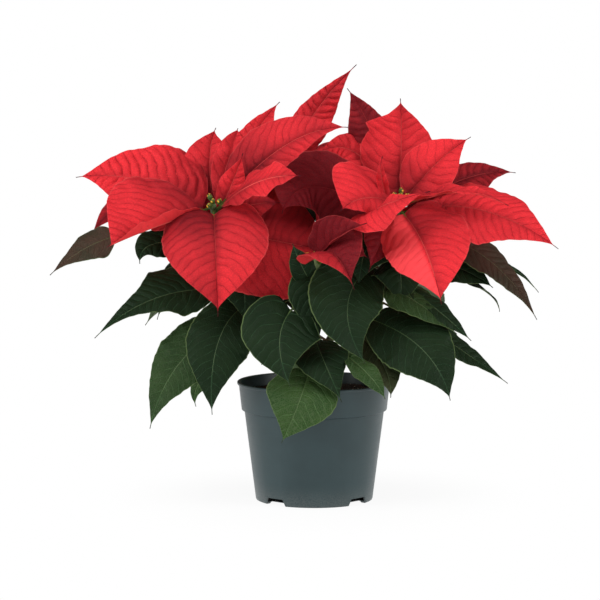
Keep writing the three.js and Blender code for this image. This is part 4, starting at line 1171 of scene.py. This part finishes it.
def build_crumb_tree():
    """Scatters crumbs over the top of the compost and joins them to it."""
    tree, given, result = new_geometry_group("Compost crumbs", {
        "Density": 300000.0, "Crumb Size": 0.0014, "Level": 0.089, "Seed": 11})
    seed = given["Seed"]
    spot = output(tree, "GeometryNodeInputPosition")
    height = output(tree, "ShaderNodeSeparateXYZ", {0: spot}, pick=2)
    points = output(tree, "GeometryNodeDistributePointsOnFaces", {
        "Mesh": given["Geometry"], "Selection": calc("GREATER_THAN", height, given["Level"]),
        "Density": given["Density"], "Seed": seed})
    ball = output(tree, "GeometryNodeMeshIcoSphere", {"Radius": 1.0, "Subdivisions": 1})
    turn = chance(tree, (0, 0, 0), (PHASES, PHASES, PHASES), seed)
    girth = chance(tree, (0.25, 0.25, 0.2), (1.0, 0.8, 0.7), seed + 1)
    many = output(tree, "GeometryNodeInstanceOnPoints", {
        "Points": points, "Instance": ball, "Rotation": turn,
        "Scale": scaled(tree, girth, given["Crumb Size"])})
    stored = output(tree, "GeometryNodeStoreNamedAttribute", {
        "Geometry": many, "Name": "tint", "Value": chance(tree, 0.0, 1.0, seed + 2)},
        data_type="FLOAT", domain="INSTANCE")
    joined = add(tree, "GeometryNodeJoinGeometry")
    for geometry in (given["Geometry"], stored):
        feed(tree, joined.inputs[0], geometry)
    return finish_geometry(tree, Signal(tree, joined.outputs[0]), given, result)


# ---------------------------------------------------------------- pot

BODY_TOP_RADIUS = 58.8
COLLAR_RADIUS = 61.2            # the collar's outside, at its foot
LIP_INSIDE = 61.7
LIP_REACH = 1.4                 # how far the lip stands out past the collar
POT_SIDES = 160
SHARP_ANGLE = 28
RECESS_ANGLES = (48, 138, 228, 318)
RECESS_DEPTH = 9.0
RECESS_SIDE = ((10.7, 0), (10.4, 1.2), (8.8, 5.4), (8.1, 5.9))   # half-width and height
RECESS_START = -5               # how far below the foot the cutting block starts
RECESS_REACH = 20               # how far the cutting block stands out past the foot


def pot_profile(pot):
    """The pot's outline from the middle of its underside over the lip to its floor, in mm."""
    top, wall = pot.height / MM, pot.wall / MM
    rim, foot = pot.rim_radius / MM, pot.foot_radius / MM
    collar = top - pot.collar_height / MM
    under_lip = rim - LIP_REACH
    body = [(0, 1.2), (foot - 6.0, 1.2), (foot - 4.6, 0.0), (foot - 1.0, 0.0),
            (foot - 0.35, 0.3), (foot, 1.2), (BODY_TOP_RADIUS, collar - 1.2)]
    step = [(BODY_TOP_RADIUS + 0.7, collar - 0.6), (COLLAR_RADIUS - 0.2, collar - 0.2),
            (COLLAR_RADIUS, collar + 0.2)]
    lip = [(under_lip, top - 2.6), (under_lip + 0.4, top - 2.25), (rim - 0.25, top - 2.2),
           (rim, top - 1.9), (rim, top - 0.5), (rim - 0.5, top), (under_lip, top),
           (LIP_INSIDE, top - 0.6)]
    inside = [(LIP_INSIDE - 0.4, top - 4), (COLLAR_RADIUS - wall, collar + 2),
              (BODY_TOP_RADIUS - wall, collar + 0.6), (foot - wall, wall), (0, wall)]
    return body + step + lip + inside


def recess_blocks(foot):
    """The blocks that cut the drain recesses out of the pot's foot, as one mesh."""
    left = [(-x, z) for x, z in reversed(RECESS_SIDE)]
    wide = RECESS_SIDE[0][0]
    loop = [(-wide, RECESS_START), (wide, RECESS_START), *RECESS_SIDE, *left]
    count = len(loop)
    points = [(x, -y, z) for y in (foot - RECESS_DEPTH, foot + RECESS_REACH) for x, z in loop]
    faces = [tuple(range(count))[::-1], tuple(range(count, 2 * count))]
    for i in range(count):
        j = (i + 1) % count
        faces.append((i, j, j + count, i + count))
    blocks = bmesh.new()
    for degrees in RECESS_ANGLES:
        block = make_mesh("recess", points, faces)
        block.transform(Matrix.Rotation(math.radians(degrees), 4, "Z"))
        blocks.from_mesh(block)
        bpy.data.meshes.remove(block)
    bmesh.ops.recalc_face_normals(blocks, faces=blocks.faces)
    mesh = bpy.data.meshes.new("recesses")
    blocks.to_mesh(mesh)
    blocks.free()
    return mesh


# ---------------------------------------------------------------- operators


class MakePot(bpy.types.Operator):
    """Makes the nursery pot with its collar, lip and drain recesses"""

    bl_idname = "poinsettia.make_pot"
    bl_label = "Make pot"

    def execute(self, context):
        pot = context.scene.poinsettia_pot
        points, faces = lathe_points(pot_profile(pot), POT_SIDES)
        shell = place("pot_shell", make_mesh("pot_shell", points, faces))
        recesses = place("recesses", recess_blocks(pot.foot_radius / MM))
        cut = shell.modifiers.new("Recesses", "BOOLEAN")
        cut.operation, cut.solver, cut.object = "DIFFERENCE", "EXACT", recesses
        piece = settle(shell, "nursery_pot")
        drop(recesses)
        piece.data.set_sharp_from_angle(angle=math.radians(SHARP_ANGLE))
        finish_piece(piece, pot_material(), "pot_plastic", "pot")
        return {"FINISHED"}


class MakeCompost(bpy.types.Operator):
    """Makes the compost with its crumbs"""

    bl_idname = "poinsettia.make_compost"
    bl_label = "Make compost"

    def execute(self, context):
        settings = context.scene.poinsettia_compost
        level = settings.level / MM
        draw = np.random.default_rng(BED_SEED)
        points, faces = lathe_points(bed_profile(level), BED_SIDES)
        x, y, z = points.T
        bumps = np.zeros(len(points))
        for _ in range(BUMPS):
            turn = draw.uniform(0, 2 * math.pi)
            size = draw.uniform(*BUMP_SIZES)
            wave = 2 * math.pi / size
            bumps += np.sin(x * wave * math.cos(turn) + y * wave * math.sin(turn)
                            + draw.uniform(0, PHASES)) * size / BUMP_SIZES[1]
        top = z > level - 0.1
        z[top] += bumps[top] * BUMP_HEIGHT
        material = compost_material()
        bed = make_mesh("compost_bed", points, faces)
        piece = grow("compost_fill", bed, build_crumb_tree(), {
            "Density": settings.crumbs * 1e4, "Crumb Size": settings.crumb,
            "Level": (level - CRUMB_DROP) * MM, "Material": material})
        finish_piece(piece, material, "compost", "compost")
        return {"FINISHED"}


class MakeStems(bpy.types.Operator):
    """Makes the main stem and the four branches"""

    bl_idname = "poinsettia.make_stems"
    bl_label = "Make stems"

    def execute(self, context):
        stems = context.scene.poinsettia_stems
        bark = stem_material()
        thick = stems.trunk_radius / MM
        rows = np.linspace(0, 1, TRUNK_ROWS)
        trunk = np.stack([0 * rows, 0 * rows, TRUNK_FOOT + (TRUNK_TOP - TRUNK_FOOT) * rows],
                         axis=-1)
        piece = stem_piece("woody_stem", trunk, thick * (1 - TRUNK_TAPER * rows),
                           1 - (1 - BRANCH_BARK) * rows, TRUNK_SCARS, bark)
        finish_piece(piece, bark, "stem", "main_stem")
        thick, thin = stems.branch_radius / MM, stems.axis_radius / MM
        first = np.linspace(BRANCH_START, 1, BRANCH_ROWS)
        second = np.linspace(*AXIS_SPAN, AXIS_ROWS)
        girths = np.concatenate([thick + (thin - thick) * first, np.full(AXIS_ROWS, thin)])
        ripe = np.concatenate([BRANCH_BARK * (1 - first) ** 1.5, np.zeros(AXIS_ROWS)])
        for side in SIDES:
            centres = np.concatenate([on_curve(branch_curve(side), first),
                                      on_curve(axis_curve(side), second)])
            run = distances(centres)[:BRANCH_ROWS]
            scars = [float(np.interp(row[0], first, run)) for row in LEAVES[side]]
            piece = stem_piece(f"branch_stem_{side}", centres, girths, ripe, scars, bark)
            finish_piece(piece, bark, "stem", f"branch_{side}")
        return {"FINISHED"}


class MakeLeaves(bpy.types.Operator):
    """Makes the green leaves of each branch"""

    bl_idname = "poinsettia.make_leaves"
    bl_label = "Make leaves"

    def execute(self, context):
        settings = context.scene.poinsettia_blades
        material = leaf_material()
        draw = np.random.default_rng(settings.seed)
        for side in SIDES:
            piece = blade_piece(f"leaves_{side}", LEAVES[side], LEAF, branch_curve(side),
                                settings.leaf_thickness, material, draw)
            finish_piece(piece, material, "leaf", f"branch_{side}")
        return {"FINISHED"}


class MakeBracts(bpy.types.Operator):
    """Makes the red bracts of each head"""

    bl_idname = "poinsettia.make_bracts"
    bl_label = "Make bracts"

    def execute(self, context):
        settings = context.scene.poinsettia_blades
        material = bract_material()
        draw = np.random.default_rng(settings.seed + 1)
        for side in SIDES:
            piece = blade_piece(f"red_bracts_{side}", BRACTS[side], BRACT, axis_curve(side),
                                settings.bract_thickness, material, draw)
            finish_piece(piece, material, "bract", f"bracts_{side}")
        return {"FINISHED"}


class MakeFlowers(bpy.types.Operator):
    """Makes the small true flowers in the middle of each head"""

    bl_idname = "poinsettia.make_flowers"
    bl_label = "Make flowers"

    def execute(self, context):
        material = flower_material()
        cup = place("flower_cup", flower_cup())
        tree = build_cluster_tree()
        upright = Vector((0, 0, 1))
        for number, side in enumerate(SIDES):
            axis = axis_curve(side)
            up = Vector(heading(axis, 1.0))
            foot = axis[2] + np.array(up) * JOINT_GAP
            turn = upright.rotation_difference(up).to_matrix()
            points, aims = [], []
            for i in range(CUPS[side]):
                ring, tilt = (CUP_RING, CUP_TILT) if i else (0, 0)
                angle = i / (CUPS[side] - 1) * 2 * math.pi
                across = Vector((-math.sin(angle), math.cos(angle), 0))
                spot = Vector((ring * math.cos(angle), ring * math.sin(angle), CUP_LIFT))
                points.append(np.array(turn @ spot) + foot)
                aims.append(np.array(turn @ (Matrix.Rotation(tilt, 3, across) @ upright)))
            base = make_mesh("cluster_base", points, [], {"aim": np.array(aims)})
            piece = grow(f"true_flowers_{side}", base, tree,
                         {"Cup": cup, "Seed": 3 + number, "Material": material})
            finish_piece(piece, material, "flower", f"flowers_{side}")
        drop(cup)
        return {"FINISHED"}


# ---------------------------------------------------------------- stage

FLOOR_REACH = 12.0
LENS, SENSOR = 157.9, 36.0
CAMERA_PLACE = (-0.012, -2.2, 0.3818)
CAMERA_TILT = 84.46             # degrees from looking straight down
WHITE = (1, 1, 1, 1)


def softbox(name, place_at, aim, size, power):
    """A rectangular area light, turned towards a point."""
    light = bpy.data.lights.new(name, "AREA")
    light.shape, light.size, light.size_y, light.energy = "RECTANGLE", *size, power
    lamp = place(name, light)
    lamp.location = place_at
    lamp.rotation_euler = (Vector(aim) - Vector(place_at)).to_track_quat("-Z", "Y").to_euler()


def floor_material(colour):
    """A matt floor that fades into the white of the studio away from the pot."""
    material, tree, skin = new_material("Floor")
    patch, _ = mottle(tree, 0.5, 0.01)
    colour = blend(patch, colour, times(colour, 0.985, 0.985, 0.985))
    feed(tree, skin.inputs["Base Color"], colour)
    skin.inputs["Roughness"].default_value = 0.9
    skin.inputs["Specular IOR Level"].default_value = 0.1
    ground = output(tree, "ShaderNodeTexCoord", pick="Object")
    away = output(tree, "ShaderNodeVectorMath", {0: ground}, "Value", operation="LENGTH")
    glow = output(tree, "ShaderNodeEmission", {"Color": WHITE, "Strength": 1.0})
    both = output(tree, "ShaderNodeMixShader", {
        0: ramp(away, 0.06, 0.2, 0.92, 1.0), 1: Signal(tree, skin.outputs[0]), 2: glow})
    feed(tree, tree.nodes["Material Output"].inputs[0], both)
    return material


def make_studio():
    """A world that is seen as white and gives only a little light."""
    world = bpy.data.worlds.new("Studio")
    world.use_nodes = True
    sky = world.node_tree
    sky.nodes.clear()
    ray = output(sky, "ShaderNodeLightPath", pick="Is Camera Ray")
    seen = output(sky, "ShaderNodeBackground", {"Color": WHITE, "Strength": 1.0})
    cast = output(sky, "ShaderNodeBackground", {"Color": WHITE, "Strength": 0.12})
    both = output(sky, "ShaderNodeMixShader", {0: ray, 1: cast, 2: seen})
    add(sky, "ShaderNodeOutputWorld", {0: both})
    return world


class MakeStage(bpy.types.Operator):
    """Makes the pale floor, the soft lights and the camera"""

    bl_idname = "poinsettia.make_stage"
    bl_label = "Make stage"

    def execute(self, context):
        scene = context.scene
        stage = scene.poinsettia_stage
        mesh = bpy.data.meshes.new("floor")
        corners = ((-1, -1), (1, -1), (1, 1), (-1, 1))
        mesh.from_pydata([(x * FLOOR_REACH, y * FLOOR_REACH, 0) for x, y in corners], [],
                         [(0, 1, 2, 3)])
        mesh.materials.append(floor_material(tuple(stage.floor_colour)))
        floor = place("floor", mesh)
        softbox("left softbox", (-2.0, -1.1, 0.95), (0, 0, 0.18), (1.2, 1.8), stage.key_power)
        softbox("right softbox", (1.5, -0.7, 0.8), (0, 0, 0.18), (0.8, 1.3), stage.fill_power)
        softbox("top softbox", (-0.4, -0.8, 1.6), (0, 0, 0.2), (1.4, 1.2), stage.top_power)
        scene.world = make_studio()
        lens = bpy.data.cameras.new("Camera")
        lens.lens, lens.sensor_width = LENS, SENSOR
        camera = place("Camera", lens)
        camera.location = CAMERA_PLACE
        camera.rotation_euler = (math.radians(CAMERA_TILT), 0, 0)
        scene.camera = camera
        scene.view_settings.view_transform = "Standard"
        return {"FINISHED"}


# ---------------------------------------------------------------- panel and registration


class PoinsettiaPanel(bpy.types.Panel):
    """Lists the settings and the makers of the potted poinsettia"""

    bl_idname = "VIEW3D_PT_poinsettia"
    bl_label = "Potted Poinsettia"
    bl_space_type = "VIEW_3D"
    bl_region_type = "UI"
    bl_category = "Poinsettia"

    def draw(self, context):
        for name, _ in SETTINGS:
            group = getattr(context.scene, name)
            box = self.layout.box()
            for key in group.__annotations__:
                box.prop(group, key)
        for maker in MAKERS:
            self.layout.operator(maker.bl_idname)


SETTINGS = (
    ("poinsettia_pot", PotSettings),
    ("poinsettia_compost", CompostSettings),
    ("poinsettia_stems", StemSettings),
    ("poinsettia_blades", BladeSettings),
    ("poinsettia_stage", StageSettings),
)
MAKERS = (MakeStage, MakePot, MakeCompost, MakeStems, MakeLeaves, MakeBracts, MakeFlowers)


def register():
    for _, group in SETTINGS:
        bpy.utils.register_class(group)
    for maker in MAKERS:
        bpy.utils.register_class(maker)
    bpy.utils.register_class(PoinsettiaPanel)
    for name, group in SETTINGS:
        setattr(bpy.types.Scene, name, bpy.props.PointerProperty(type=group))


def unregister():
    for name, _ in reversed(SETTINGS):
        delattr(bpy.types.Scene, name)
    bpy.utils.unregister_class(PoinsettiaPanel)
    for maker in reversed(MAKERS):
        bpy.utils.unregister_class(maker)
    for _, group in reversed(SETTINGS):
        bpy.utils.unregister_class(group)


def main():
    register()
    build_vein_group()
    build_mottle_group()
    bpy.ops.poinsettia.make_stage()
    bpy.ops.poinsettia.make_pot()
    bpy.ops.poinsettia.make_compost()
    bpy.ops.poinsettia.make_stems()
    bpy.ops.poinsettia.make_leaves()
    bpy.ops.poinsettia.make_bracts()
    bpy.ops.poinsettia.make_flowers()


if __name__ == "__main__":
    main()
